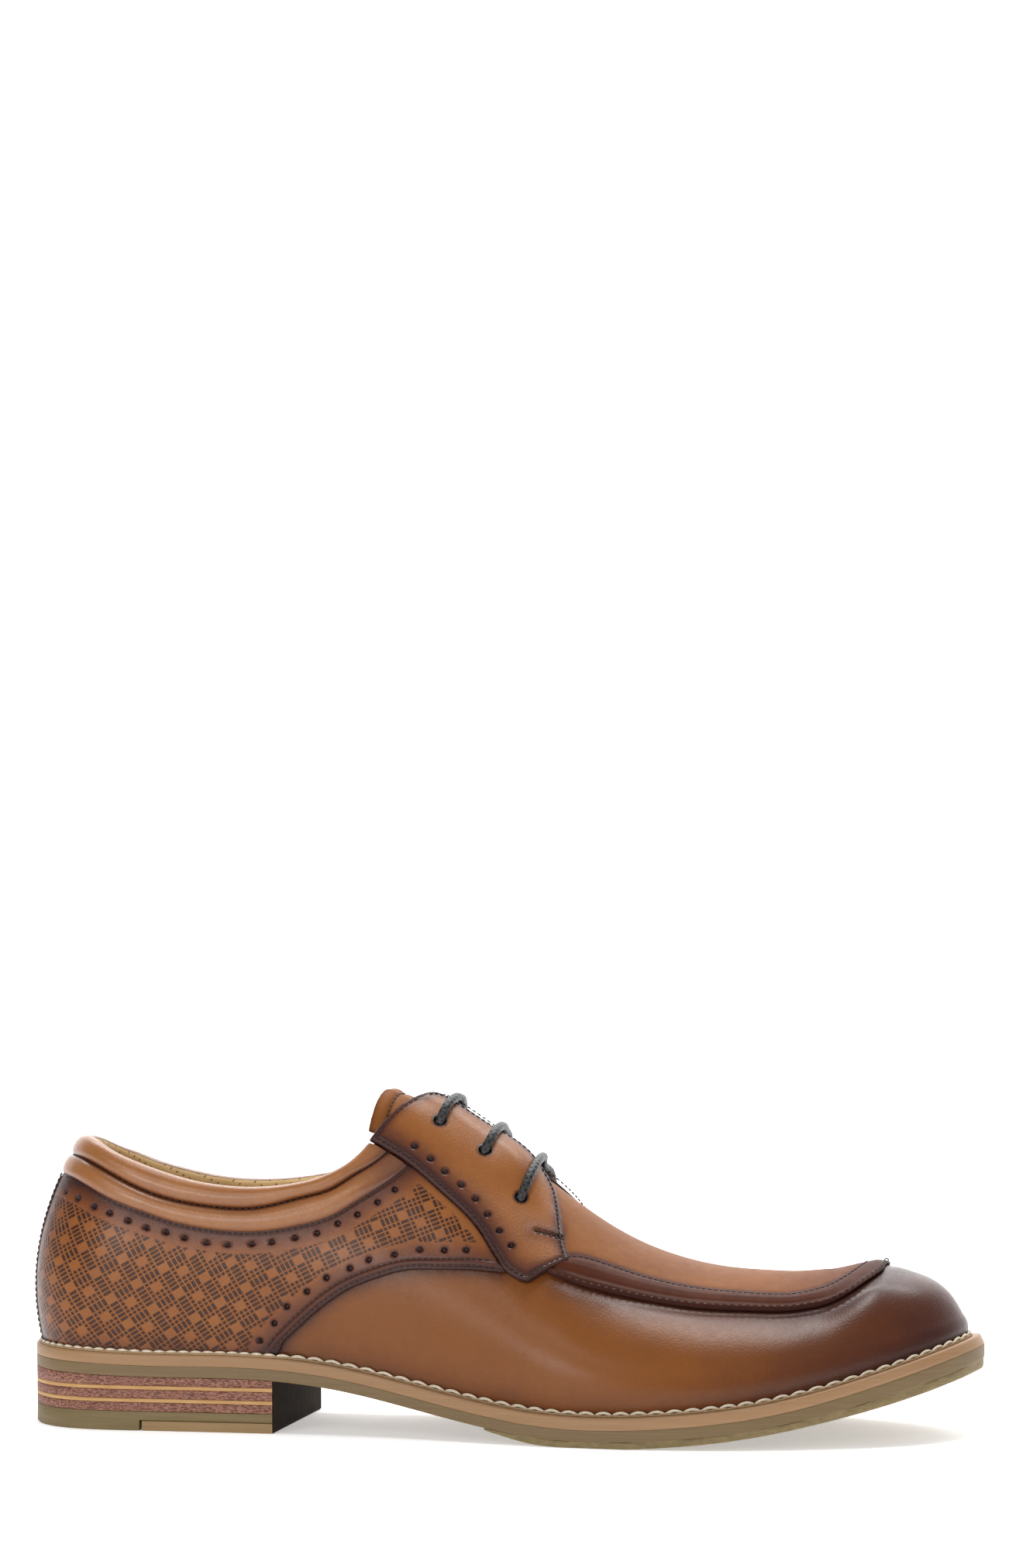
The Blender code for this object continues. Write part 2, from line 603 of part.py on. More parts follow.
def make_plate(name, wraps, top, bottom, material, **shape):
    """A closed layer of the sole between two heights."""
    make_slab(name, plate_grid(wraps, top, **shape), plate_grid(wraps, bottom, **shape), material)


def make_sole():
    """Welt, midsole, forepart outsole and insole."""
    round_foot = np.linspace(0, 2, 2 * COLUMNS, endpoint=False)
    side = np.linspace(0, 1, COLUMNS + 1)
    outer = sole_outline(round_foot)
    inner = sole_outline(round_foot, UPPER_WALL, 1.0)

    def welt_bottom(x):
        return sole_top(x) - WELT_THICKNESS + CLEARANCE

    make_ring("welt", [to_part(outer, sole_top(outer[..., 0])), to_part(inner, sole_top(inner[..., 0])),
                       to_part(inner, welt_bottom(inner[..., 0])),
                       to_part(outer, welt_bottom(outer[..., 0]))], WELT_LEATHER)
    make_plate("midsole", side, lambda x: sole_top(x) - WELT_THICKNESS, midsole_underside, MIDSOLE)
    forepart = np.concatenate([[OUTSOLE_START], side[side > OUTSOLE_START + 0.01]])
    make_plate("outsole", forepart, lambda x: midsole_underside(x) - CLEARANCE,
               outsole_underside, OUTSOLE)
    make_plate("insole", side, lambda x: sole_top(x) + INSOLE_COVER, welt_bottom, LINING,
               inset=UPPER_WALL + 2 * CLEARANCE, welt_share=1.0)


def heel_wraps():
    """Wraps round the heel, the last one where the breast crosses the sole's edge."""
    wraps = np.linspace(0, SECTIONS[5].wrap, 200)
    breast = np.interp(HEEL_BREAST, sole_outline(wraps)[:, 0], wraps)
    return np.linspace(0, breast, 15)


def make_heel():
    """The stacked heel: lift, layers with pale lines between, and a wedge on top."""
    wraps = heel_wraps()

    def layer(name, bottom, top, material):
        make_plate(name, wraps, lambda x: np.full_like(x, top), lambda x: np.full_like(x, bottom), material,
                   lanes=1)

    layer("heel_lift", 0.0, TOP_LIFT_HEIGHT, HEEL_RUBBER)
    level = TOP_LIFT_HEIGHT
    for number in (1, 2):
        layer(f"heel_layer_{number}", level + CLEARANCE, level + HEEL_LAYER_THICKNESS, HEEL_STACK)
        level += HEEL_LAYER_THICKNESS
        layer(f"heel_line_{number}", level + CLEARANCE, level + HEEL_LINE_THICKNESS, HEEL_LINE)
        level += HEEL_LINE_THICKNESS
    make_plate("heel_wedge", wraps, lambda x: midsole_underside(x) - CLEARANCE,
               lambda x: np.full_like(x, level + CLEARANCE), HEEL_STACK)


def make_lift_insert():
    """The harder piece let into the lift's underside, in front of its groove."""
    start = LIFT_INSERT_START - SOLE_LENGTH / 2
    lift = bpy.data.objects["heel_lift"]
    insert = lift.copy()
    insert.data = lift.data.copy()
    insert.name = "heel_lift_insert"
    insert.data.materials[0] = LIFT_INSERT
    PARTS.objects.link(insert)
    block = (SOLE_LENGTH, BALL_WIDTH * 2, LIFT_INSERT_HEIGHT * 2)
    for piece, operation, gap in ((lift, "DIFFERENCE", 0.0), (insert, "INTERSECT", CLEARANCE)):
        bpy.ops.mesh.primitive_cube_add(size=1, location=(start + gap + block[0] / 2, 0, -gap))
        cutter = bpy.context.object
        cutter.name = f"{piece.name}_cutter"
        cutter.scale = block
        cutter.hide_render = True
        cutter.display_type = "WIRE"
        for holder in list(cutter.users_collection):
            holder.objects.unlink(cutter)
        CUTTERS.objects.link(cutter)
        cut = piece.modifiers.new("Insert", "BOOLEAN")
        cut.operation = operation
        cut.object = cutter


def make_laces():
    """Straight lace bars from eyelet to eyelet over the throat."""
    lift = OVERLAY_CLEARANCE + FACING_THICKNESS + CLEARANCE + LACE_RADIUS
    for name, eyelet in zip(LACE_NAMES, EYELETS):
        share = np.linspace(0, 1, 7)
        start = climb_share(eyelet.rise)
        rise = climb(start + (1 - start) * share)
        wrap = eyelet.wrap + LACE_CREST_STEP * share**1.5
        lateral = skin(wrap, rise, lift)
        medial = skin(2 - wrap, rise, lift)[-2::-1]
        points = np.concatenate([lateral, medial])
        curve = bpy.data.curves.new(name, "CURVE")
        curve.dimensions = "3D"
        curve.bevel_depth = LACE_RADIUS
        curve.bevel_resolution = LACE_SIDES_RESOLUTION
        curve.use_fill_caps = True
        spline = curve.splines.new("POLY")
        spline.points.add(len(points) - 1)
        for target, point in zip(spline.points, points):
            target.co = (*point, 1.0)
        curve.materials.append(LACE)
        PARTS.objects.link(bpy.data.objects.new(name, curve))


for old in list(bpy.data.objects):
    bpy.data.objects.remove(old, do_unlink=True)

PARTS = make_collection(COLLECTION_NAME)
CUTTERS = make_collection("cutters")

LEATHER = make_material("tan_leather", (0.30, 0.125, 0.035), 0.42)
QUARTER_LEATHER = make_material("embossed_leather", (0.27, 0.115, 0.035), 0.48)
DARK_LEATHER = make_material("burnished_leather", (0.07, 0.028, 0.018), 0.40)
COLLAR_LEATHER = make_material("collar_leather", (0.33, 0.150, 0.045), 0.45)
APRON_LEATHER = make_material("apron_leather", (0.35, 0.150, 0.040), 0.45)
WELT_LEATHER = make_material("welt", (0.62, 0.44, 0.26), 0.60)
MIDSOLE = make_material("midsole", (0.36, 0.25, 0.13), 0.65)
OUTSOLE = make_material("outsole", (0.22, 0.16, 0.08), 0.75)
LINING = make_material("insole_lining", (0.50, 0.33, 0.14), 0.65)
HEEL_STACK = make_material("stacked_heel", (0.30, 0.13, 0.07), 0.65)
HEEL_LINE = make_material("heel_line", (0.60, 0.40, 0.20), 0.65)
HEEL_RUBBER = make_material("heel_lift", (0.16, 0.11, 0.05), 0.70)
LIFT_INSERT = make_material("lift_insert", (0.42, 0.29, 0.14), 0.65)
LACE = make_material("waxed_lace", (0.03, 0.03, 0.032), 0.45)

make_upper()
make_sole()
make_heel()
make_lift_insert()
make_back_strap()
for side_name, on_medial in (("lateral", False), ("medial", True)):
    make_quarter(f"quarter_{side_name}", on_medial)
    make_facing(f"facing_{side_name}", on_medial)
make_collar()
make_apron()
make_tongue()
make_laces()
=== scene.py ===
"""Looks of a moc toe oxford, a right shoe for men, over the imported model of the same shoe.

Metres, +Z up. The toe points to +X, the outer (lateral) side to -Y and the inner
(medial) side to +Y. The origin is on the floor, midway along the sole.

Each curved piece is drawn on one last. A place on the last has two shares: wrap runs
round the foot from the heel back (0) along the lateral side to the toe tip (1) and
back along the medial side (2), and rise climbs from the edge of the sole (0) to the
ridge of the instep (1).
"""
import logging
import math
from collections.abc import Callable, Sequence
from dataclasses import dataclass
from enum import Enum
from typing import Any, NamedTuple

import bmesh
import bpy
import numpy as np
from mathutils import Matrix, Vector


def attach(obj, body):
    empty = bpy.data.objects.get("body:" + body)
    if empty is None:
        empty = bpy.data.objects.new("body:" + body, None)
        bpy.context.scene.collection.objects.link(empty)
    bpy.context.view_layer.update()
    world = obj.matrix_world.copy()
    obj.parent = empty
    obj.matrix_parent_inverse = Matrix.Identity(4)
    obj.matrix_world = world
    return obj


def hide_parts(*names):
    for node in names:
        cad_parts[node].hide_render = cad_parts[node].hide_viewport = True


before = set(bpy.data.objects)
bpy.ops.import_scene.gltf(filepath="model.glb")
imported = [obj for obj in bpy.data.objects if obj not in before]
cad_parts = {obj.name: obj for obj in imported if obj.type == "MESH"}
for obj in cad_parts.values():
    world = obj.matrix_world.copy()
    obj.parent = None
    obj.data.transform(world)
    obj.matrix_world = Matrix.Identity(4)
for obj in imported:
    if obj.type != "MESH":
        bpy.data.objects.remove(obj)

LOG = logging.getLogger("moc_toe_oxford")
Array = np.ndarray
Colour = tuple[float, float, float]
Height = Callable[[Array], Array]

MM = 0.001
BODY = "root"
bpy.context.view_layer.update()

# The last's own sizes, the same as in the part's source.
SOLE_LENGTH = 306 * MM
HALF_WIDTH = 54 * MM
INSTEP_HEIGHT = 96 * MM
HEEL_RISE = 16.2 * MM
TOE_SPRING = 23 * MM
WELT_REACH = 5.6 * MM
WELT_THICKNESS = 3.7 * MM
MIDSOLE_THICKNESS = 3.6 * MM
OUTSOLE_THICKNESS = 2.3 * MM
SOLE_STACK = WELT_THICKNESS + MIDSOLE_THICKNESS + OUTSOLE_THICKNESS
UPPER_WALL = 1.8 * MM
CLEARANCE = 0.3 * MM
OVERLAY_CLEARANCE = 0.4 * MM
QUARTER_TOP_HEIGHT = 1.6 * MM
FACING_TOP_HEIGHT = 3.0 * MM
# How far the upper stands off the last beside the throat, and the inner side's share of it.
THROAT_LIFT = 2.2 * MM
INNER_LIFT = 0.45
# The rises over which the lifts of both sides come together.
LIFTS_MEET = (0.988, 1.0)
THROAT_LIFT_WRAPS = (0.530, 0.586)
THROAT_LIFT_RISES = (0.80, 0.97)
# How closely the rows of a panel crowd towards the ridge.
RISE_CROWDING = 2.2
# How much lower the ankle's edge lies on the inner side, as a share of the rise, and where.
INNER_DROP = 0.058
INNER_DROP_WRAPS = (0.0, 0.11, 0.14, 0.34)
INNER_DROP_RISES = (0.20, 0.62)
# The toe box's fullness over the last's plain ridge, the dip in the plug behind it, and
# where both lie, in millimetres ahead of the sole's middle.
TOE_FULLNESS = 4.2 * MM
TOE_FULLNESS_AHEAD = (104, 122)
TOE_FULLNESS_RISES = (0.35, 0.80)
PLUG_DIP = 0.6 * MM
PLUG_DIP_MIDDLE = 94
PLUG_DIP_REACH = 9
# The rise past which a point counts as on the ridge.
LAST_RISE = 0.9999
# How far the outer facing stands off under the lower laces, and where.
FACING_TENT = 2.4 * MM
FACING_TENT_WRAP = 0.562
FACING_TENT_REACH = 0.034
FACING_TENT_RISES = (0.84, 0.975)


class Side(Enum):
    """Which side of the foot a panel lies on."""

    LATERAL = "lateral"
    MEDIAL = "medial"

    def wrap(self, lateral: float) -> float:
        """A wrap of the lateral side, or its mirror on the medial side."""
        return lateral if self is Side.LATERAL else 2 - lateral

    def span(self, start: float, end: float) -> tuple[float, float]:
        """Shares of a line between two shares counted from the heel's end."""
        return (start, end) if self is Side.LATERAL else (1 - end, 1 - start)


class Section(NamedTuple):
    """A section round the foot, in shares of the sole's length and half width."""

    wrap: float
    ridge: float
    lateral_x: float
    lateral_y: float
    medial_x: float
    medial_y: float
    lateral_welt: float
    medial_welt: float
    rise_power: float
    round_power: float
    bulge: float


def thousandths(*rows: tuple[int, ...]) -> tuple[tuple[float, ...], ...]:
    """Rows of whole thousandths as rows of shares."""
    return tuple(tuple(number / 1000 for number in row) for row in rows)


SECTIONS = (
    Section(0.00, 0.200, 0.000, -0.035, 0.000, -0.035, 0.72, 0.72, 2.20, 2.40, 0.060),
    Section(0.05, 0.202, 0.009, -0.340, 0.009, 0.270, 0.72, 0.72, 2.20, 2.40, 0.060),
    Section(0.11, 0.210, 0.050, -0.600, 0.050, 0.530, 0.70, 0.70, 2.30, 2.40, 0.060),
    Section(0.20, 0.240, 0.146, -0.670, 0.146, 0.600, 0.68, 0.68, 2.45, 2.40, 0.055),
    Section(0.32, 0.320, 0.285, -0.670, 0.285, 0.565, 0.66, 0.60, 2.50, 2.15, 0.050),
    Section(0.44, 0.420, 0.400, -0.715, 0.405, 0.540, 0.66, 0.45, 2.50, 2.00, 0.060),
    Section(0.56, 0.520, 0.515, -0.870, 0.530, 0.720, 0.85, 0.60, 2.20, 2.00, 0.060),
    Section(0.68, 0.620, 0.635, -0.990, 0.655, 0.965, 0.95, 0.90, 2.10, 2.00, 0.050),
    Section(0.78, 0.705, 0.760, -0.930, 0.775, 0.985, 1.00, 1.00, 2.10, 2.05, 0.040),
    Section(0.88, 0.780, 0.882, -0.690, 0.887, 0.800, 1.00, 1.00, 2.15, 2.10, 0.030),
    Section(0.95, 0.822, 0.965, -0.350, 0.967, 0.535, 1.00, 1.00, 2.25, 2.15, 0.020),
    Section(1.00, 0.835, 1.000, 0.110, 1.000, 0.110, 1.00, 1.00, 2.30, 2.20, 0.020),
)
# The tables below are in thousandths.
# The ridge of the instep: x, height and y, as shares of length, instep and half width.
RIDGE = thousandths(
    (0, 1130, -40), (200, 1120, -40), (300, 1100, -40), (380, 1045, -30), (440, 960, -30),
    (500, 825, -20), (560, 675, 0), (620, 545, 20), (680, 465, 40), (750, 425, 70), (835, 430, 90),
    (1000, 428, 110),
)
# The top of the sole: x, then shares of the heel's rise and of the toe spring.
TREAD = thousandths(
    (0, 1000, 0), (70, 960, 0), (150, 920, 0), (240, 920, 0), (290, 875, 0), (350, 735, 0), (420, 475, 0),
    (490, 215, 0), (560, 30, 0), (650, -20, 10), (740, 0, 85), (800, 0, 205), (860, 0, 400),
    (930, 0, 690), (1000, 0, 1000),
)
# Edges and seams of the upper's panels, each a row of wrap and rise.
TOPLINE = thousandths(
    (0, 714), (36, 722), (69, 725), (100, 714), (138, 682), (181, 640), (214, 607), (244, 585),
    (280, 577), (327, 603), (358, 645), (382, 705), (401, 785), (414, 858), (424, 920), (435, 965),
    (446, 986),
)
THROAT = thousandths((446, 986), (480, 990), (520, 990), (552, 990), (568, 993), (580, 1000))
QUARTER_TOP = thousandths(
    (0, 588), (42, 593), (80, 590), (112, 574), (157, 525), (191, 488), (219, 458), (246, 438),
    (285, 430), (331, 461), (363, 503), (392, 572), (422, 661), (437, 715), (448, 761),
)
ROLL_SEAM = thousandths(
    (0, 646), (47, 652), (85, 650), (116, 635), (148, 604), (179, 564), (216, 524), (245, 507),
    (280, 501), (329, 546), (361, 588), (390, 661), (409, 717), (426, 777),
)
FACING_REAR = thousandths(
    (402, 795), (426, 779), (448, 764), (482, 730), (520, 692), (539, 653), (550, 619), (558, 595),
    (567, 574), (580, 570), (594, 590),
)
FACING_FRONT = thousandths(
    (438, 966), (450, 990), (480, 994), (520, 995), (552, 995), (575, 993), (594, 983), (609, 950),
    (619, 884), (626, 818), (633, 768),
)
QUARTER_ARC = thousandths(
    (314, 10), (322, 46), (333, 88), (350, 146), (367, 200), (399, 284), (433, 353), (465, 411),
    (492, 449), (524, 503), (560, 561),
)
STRAP_EDGE = thousandths((52, 10), (47, 180), (45, 300), (52, 440), (58, 578))
APRON_EDGE = thousandths(
    (580, 997), (592, 984), (603, 953), (611, 884), (612, 790), (604, 700), (612, 672), (628, 684),
    (644, 694), (668, 716), (704, 741), (754, 756), (796, 757), (832, 744), (862, 738), (894, 764),
    (921, 814), (947, 866), (968, 905), (985, 929), (1000, 936),
)
APRON_STITCH = thousandths(
    (592, 998), (600, 990), (609, 966), (617, 920), (620, 850), (620, 775), (629, 783), (638, 808),
    (651, 832), (671, 852), (704, 865), (757, 873), (802, 870), (841, 857), (866, 856), (892, 876),
    (912, 902), (935, 932), (955, 953), (977, 968), (1000, 974),
)
TONGUE_EDGE = thousandths((395, 850), (470, 845), (540, 840), (612, 870))
TAB_SLOT = thousandths((592, 795), (600, 808), (611, 822), (622, 837))
EYELETS = thousandths((469, 926), (520, 922), (569, 872))
# Punched holes, by the row that they belong to.
QUARTER_TOP_HOLES = thousandths(
    (90, 531), (115, 515), (140, 491), (159, 473), (179, 450), (197, 428), (215, 415), (232, 397),
    (252, 383), (271, 378), (293, 384), (312, 396), (335, 419), (358, 446), (380, 492), (401, 538),
    (422, 599), (439, 661),
)
QUARTER_ARC_HOLES = thousandths(
    (301, 54), (316, 119), (329, 181), (350, 242), (371, 300), (397, 350), (418, 396), (446, 442),
    (473, 492), (499, 530), (522, 572),
)
FACING_HOLES = thousandths(
    (452, 822), (471, 807), (488, 791), (507, 780), (524, 764), (539, 738), (554, 707), (569, 680),
)


class Spline:
    """A cubic spline through rows of values, closed on itself when periodic."""

    def __init__(self, knots: Sequence[float], values: Sequence, periodic: bool = False) -> None:
        """Work out the spline's bends.

        Args:
            knots: Where each row of values lies.
            values: The rows that the spline goes through.
            periodic: Whether the last row meets the first.
        """
        self.knots = np.asarray(knots, float)
        self.values = np.asarray(values, float)
        count = len(self.knots)
        steps = np.diff(self.knots)
        slopes = np.diff(self.values, axis=0) / steps[:, None]
        matrix = np.zeros((count, count))
        bends = np.zeros_like(self.values)
        for row in range(1, count - 1):
            before, after = steps[row - 1], steps[row]
            matrix[row, row - 1:row + 2] = before, 2 * (before + after), after
            bends[row] = 6 * (slopes[row] - slopes[row - 1])
        if periodic:
            matrix[0, 0], matrix[0, -1] = 1, -1
            matrix[-1, [0, 1]] = 2 * steps[0], steps[0]
            matrix[-1, [-2, -1]] = steps[-1], 2 * steps[-1]
            bends[-1] = 6 * (slopes[0] - slopes[-1])
        else:
            matrix[0, 0] = matrix[-1, -1] = 1
        self.curvature = np.linalg.solve(matrix, bends)

    def __call__(self, at: Array | float) -> Array:
        """Values at a knot position, or at an array of them."""
        at = np.asarray(at, float)
        left = np.clip(np.searchsorted(self.knots, at, side="right") - 1, 0, len(self.knots) - 2)
        step = (self.knots[left + 1] - self.knots[left])[..., None]
        down = (self.knots[left + 1] - at)[..., None] / step
        up = 1 - down
        bend = (down**3 - down) * self.curvature[left] + (up**3 - up) * self.curvature[left + 1]
        return down * self.values[left] + up * self.values[left + 1] + bend * step**2 / 6


def lengths_along(path: Array, power: float = 1.0) -> Array:
    """How far along a polyline each point lies, with each step raised to a power."""
    return np.concatenate([[0], np.cumsum(np.linalg.norm(np.diff(path, axis=0), axis=1) ** power)])


class Edge:
    """A smooth line through places on the last, followed by a share of its length."""

    def __init__(self, places: Sequence) -> None:
        """Fit the line through its places."""
        points = np.array([tuple(place) for place in places], float)
        lengths = lengths_along(points)
        self.spline = Spline(lengths / lengths[-1], points)

    def __call__(self, share: Array | float) -> Array:
        """Wrap and rise at a share of the line's length."""
        return self.spline(share)


def smooth_step(value: Array, start: float, end: float) -> Array:
    """0 before start, 1 after end and a soft climb between."""
    share = np.clip((value - start) / (end - start), 0, 1)
    return share * share * (3 - 2 * share)


def bell(value: Array, reach: float) -> Array:
    """1 at zero, falling softly to nothing at about twice the reach."""
    return np.exp(-(value / reach) ** 2)


def unit(vectors: Array) -> Array:
    """Vectors at length 1."""
    return vectors / np.maximum(np.linalg.norm(vectors, axis=-1, keepdims=True), 1e-12)


def climb(share: Array) -> Array:
    """Rises that crowd towards the ridge, where the foot rounds over."""
    return 1 - (1 - share) ** RISE_CROWDING


def climb_share(rise: Array) -> Array:
    """The share that climb takes to a rise."""
    return 1 - (1 - np.minimum(rise, 1)) ** (1 / RISE_CROWDING)


class Last:
    """The foot form that every panel is drawn on."""

    def __init__(self) -> None:
        """Fit splines through the tables."""
        lateral = [(s.wrap, s.ridge, s.lateral_x, s.lateral_y, s.lateral_welt,
                    s.rise_power, s.round_power, s.bulge) for s in SECTIONS]
        medial = [(2 - s.wrap, s.ridge, s.medial_x, s.medial_y, s.medial_welt,
                   s.rise_power, s.round_power, s.bulge) for s in SECTIONS[-2::-1]]
        rows = np.array(lateral + medial)
        self.loop = Spline(rows[:, 0], rows[:, 1:], periodic=True)
        ridge, tread = np.array(RIDGE), np.array(TREAD)
        self.ridge = Spline(ridge[:, 0], ridge[:, 1:])
        self.tread = Spline(tread[:, 0], tread[:, 1:])

    def sole_top(self, x: Array) -> Array:
        """Height of the sole's top, where x runs from the heel back."""
        shares = self.tread(x / SOLE_LENGTH)
        return SOLE_STACK + shares[..., 0] * HEEL_RISE + shares[..., 1] * TOE_SPRING

    def outline(self, wrap: Array, inset: Array | float = 0.0, welt_share: float = 0.0) -> Array:
        """Plan of the sole's edge.

        Args:
            wrap: Where round the foot.
            inset: How far inwards, in metres.
            welt_share: How much of the welt's reach is taken off as well.

        Returns:
            x from the heel back, and y.
        """
        row = self.loop(np.mod(wrap, 2))
        scale = np.array([SOLE_LENGTH, HALF_WIDTH])
        reach = 1e-4
        ahead, behind = self.loop(np.mod(wrap + reach, 2)), self.loop(np.mod(wrap - reach, 2))
        along = (ahead - behind)[..., 1:3] * scale
        inwards = unit(np.stack([-along[..., 1], along[..., 0]], -1))
        move = inset + row[..., 3] * WELT_REACH * welt_share
        return row[..., 1:3] * scale + inwards * np.asarray(move)[..., None]

    def surface(self, wrap: Array, rise: Array) -> Array:
        """The outside of the upper's base layer, with x from the heel back."""
        wrap, rise = np.broadcast_arrays(np.asarray(wrap, float), np.asarray(rise, float))
        inner = 2 - np.mod(wrap, 2)
        ankle = smooth_step(inner, *INNER_DROP_WRAPS[:2]) * (1 - smooth_step(inner, *INNER_DROP_WRAPS[2:]))
        rise = rise - INNER_DROP * ankle * smooth_step(rise, *INNER_DROP_RISES)
        row = self.loop(np.mod(wrap, 2))
        edge = self.outline(wrap, welt_share=1.0)
        ridge_x = row[..., 0] * SOLE_LENGTH
        ridge_y = self.ridge(row[..., 0])[..., 1] * HALF_WIDTH
        spread = np.clip(1 - rise ** row[..., 4], 0, None) ** (1 / row[..., 5])
        spread = spread * (1 + row[..., 6] * 6.75 * rise * (1 - rise) ** 2)
        x = ridge_x + (edge[..., 0] - ridge_x) * spread
        y = ridge_y + (edge[..., 1] - ridge_y) * spread
        foot = self.sole_top(x) + CLEARANCE
        top = self.ridge(x / SOLE_LENGTH)[..., 0] * INSTEP_HEIGHT + SOLE_STACK
        return np.stack([x, y, foot + (top - foot) * rise], -1)

    def normal(self, wrap: Array, rise: Array) -> Array:
        """The outward direction, the same from both sides along the ridge."""
        wrap, rise = np.broadcast_arrays(np.asarray(wrap, float), np.asarray(rise, float))
        reach = 1e-4
        low, high = np.clip(rise - reach, 0, 1 - 2 * reach), np.clip(rise + reach, 2 * reach, 1)
        middle = rise * (1 - reach)

        def one_side(at: Array) -> Array:
            """The direction square to two short steps on one side of the ridge."""
            round_foot = self.surface(at + reach, middle) - self.surface(at - reach, middle)
            return unit(np.cross(round_foot, self.surface(at, high) - self.surface(at, low)))

        near = one_side(wrap)
        if not np.any(rise > LAST_RISE):
            return near
        return unit(np.where((rise > LAST_RISE)[..., None], near + one_side(2 - wrap), near))

    def throat_lift(self, wrap: Array, rise: Array) -> Array:
        """How far the upper stands off the last beside the throat, over the tongue."""
        ahead = 1 - smooth_step(np.minimum(wrap, 2 - wrap), *THROAT_LIFT_WRAPS)
        half = (1 - INNER_LIFT) / 2
        share = 1 - half - half * np.where(np.mod(wrap, 2) > 1, 1, -1) * (1 - smooth_step(rise, *LIFTS_MEET))
        return THROAT_LIFT * ahead * share * smooth_step(rise, *THROAT_LIFT_RISES)

    def tent(self, wrap: Array, rise: Array) -> Array:
        """How far the outer facing and its laces stand off over the lower throat."""
        near = FACING_TENT * bell(wrap - FACING_TENT_WRAP, FACING_TENT_REACH)
        return near * smooth_step(rise, *FACING_TENT_RISES) * (np.mod(wrap, 2) < 1)

    def skin(self, wrap: Array, rise: Array, lift: Array | float = 0.0) -> Array:
        """A point over the upper's base layer, lifted off it, in the part's own frame."""
        wrap, rise = np.broadcast_arrays(np.asarray(wrap, float), np.asarray(rise, float))
        point = self.surface(wrap, rise)
        ahead = (point[..., 0] - SOLE_LENGTH / 2) / MM
        full = TOE_FULLNESS * smooth_step(ahead, *TOE_FULLNESS_AHEAD)
        full = full - PLUG_DIP * bell(ahead - PLUG_DIP_MIDDLE, PLUG_DIP_REACH)
        height = self.throat_lift(wrap, rise) + full * smooth_step(rise, *TOE_FULLNESS_RISES) + lift
        point = point + self.normal(wrap, rise) * height[..., None]
        return point - np.array([SOLE_LENGTH / 2, 0, 0])

    def topline_rise(self, wrap: Array) -> Array:
        """Rise of the upper's top edge: collar, facing, throat, then the closed vamp."""
        side = np.minimum(wrap, 2 - wrap)
        collar = Spline([p[0] for p in TOPLINE], [[p[1]] for p in TOPLINE])
        throat = Spline([p[0] for p in THROAT], [[p[1]] for p in THROAT])
        rise = np.where(side < THROAT[0][0], collar(side)[..., 0],
                        throat(np.minimum(side, THROAT[-1][0]))[..., 0])
        return np.where(side >= THROAT[-1][0], 1.0, np.minimum(rise, 1.0))


LAST = Last()


def to_part(plan: Array, height: Array) -> Array:
    """Points of the part's frame from a plan with x from the heel back and a height."""
    return np.concatenate([plan, height[..., None]], -1) - np.array([SOLE_LENGTH / 2, 0, 0])


def mirrored(places: Array, side: Side) -> Array:
    """Places of the lateral side, or of their mirror on the medial side in wrap's order."""
    if side is Side.LATERAL:
        return places
    other = places[::-1].copy()
    other[..., 0] = 2 - other[..., 0]
    return other


class Line:
    """A line on the last, stored in the order in which wrap grows."""

    def __init__(self, places: Array) -> None:
        """Keep the line's places, a row of wrap and rise."""
        self.places = places

    @classmethod
    def through(cls, table: Sequence, side: Side = Side.LATERAL, count: int = 260,
                start: float = 0.0, end: float = 1.0) -> "Line":
        """A smooth line through a table's places.

        Args:
            table: Rows of wrap and rise on the lateral side.
            side: The side of the foot that the line lies on.
            count: How many places it has.
            start: The share of its length where it starts.
            end: The share of its length where it ends.
        """
        return cls(mirrored(Edge(table)(np.linspace(start, end, count)), side))

    def points(self, lift: float = 0.0) -> Array:
        """The line's points, lifted off the last."""
        return LAST.skin(self.places[:, 0], self.places[:, 1], lift)

    def normals(self) -> Array:
        """The outward directions along the line."""
        return LAST.normal(self.places[:, 0], self.places[:, 1])

    def moved(self, distance: float, steps: int = 3) -> "Line":
        """The line set over to its left, which is up towards the ridge.

        Args:
            distance: How far, in metres, and to the right where it is negative.
            steps: How many short moves are made.
        """
        places = self.places.copy()
        reach = 1e-4
        for _ in range(steps):
            wrap, rise = places[:, 0], np.clip(places[:, 1], 2 * reach, 1 - 3 * reach)
            along = unit(np.gradient(LAST.surface(wrap, rise), axis=0))
            aside = np.cross(LAST.normal(wrap, rise), along) * distance / steps
            by_wrap = (LAST.surface(wrap + reach, rise) - LAST.surface(wrap - reach, rise)) / (2 * reach)
            by_rise = (LAST.surface(wrap, rise + reach) - LAST.surface(wrap, rise - reach)) / (2 * reach)
            pairs = (by_wrap, by_wrap), (by_wrap, by_rise), (by_rise, by_rise)
            a, b, c = ((u * v).sum(-1) for u, v in pairs)
            d, e = (by_wrap * aside).sum(-1), (by_rise * aside).sum(-1)
            scale = a * c - b * b
            places[:, 0] += (c * d - b * e) / scale
            places[:, 1] = np.clip(places[:, 1] + (a * e - b * d) / scale, 0, 1)
        return Line(places)

    def part(self, start: float, end: float) -> "Line":
        """The stretch between two shares of the line."""
        last = len(self.places) - 1
        return Line(self.places[round(start * last):round(end * last) + 1])


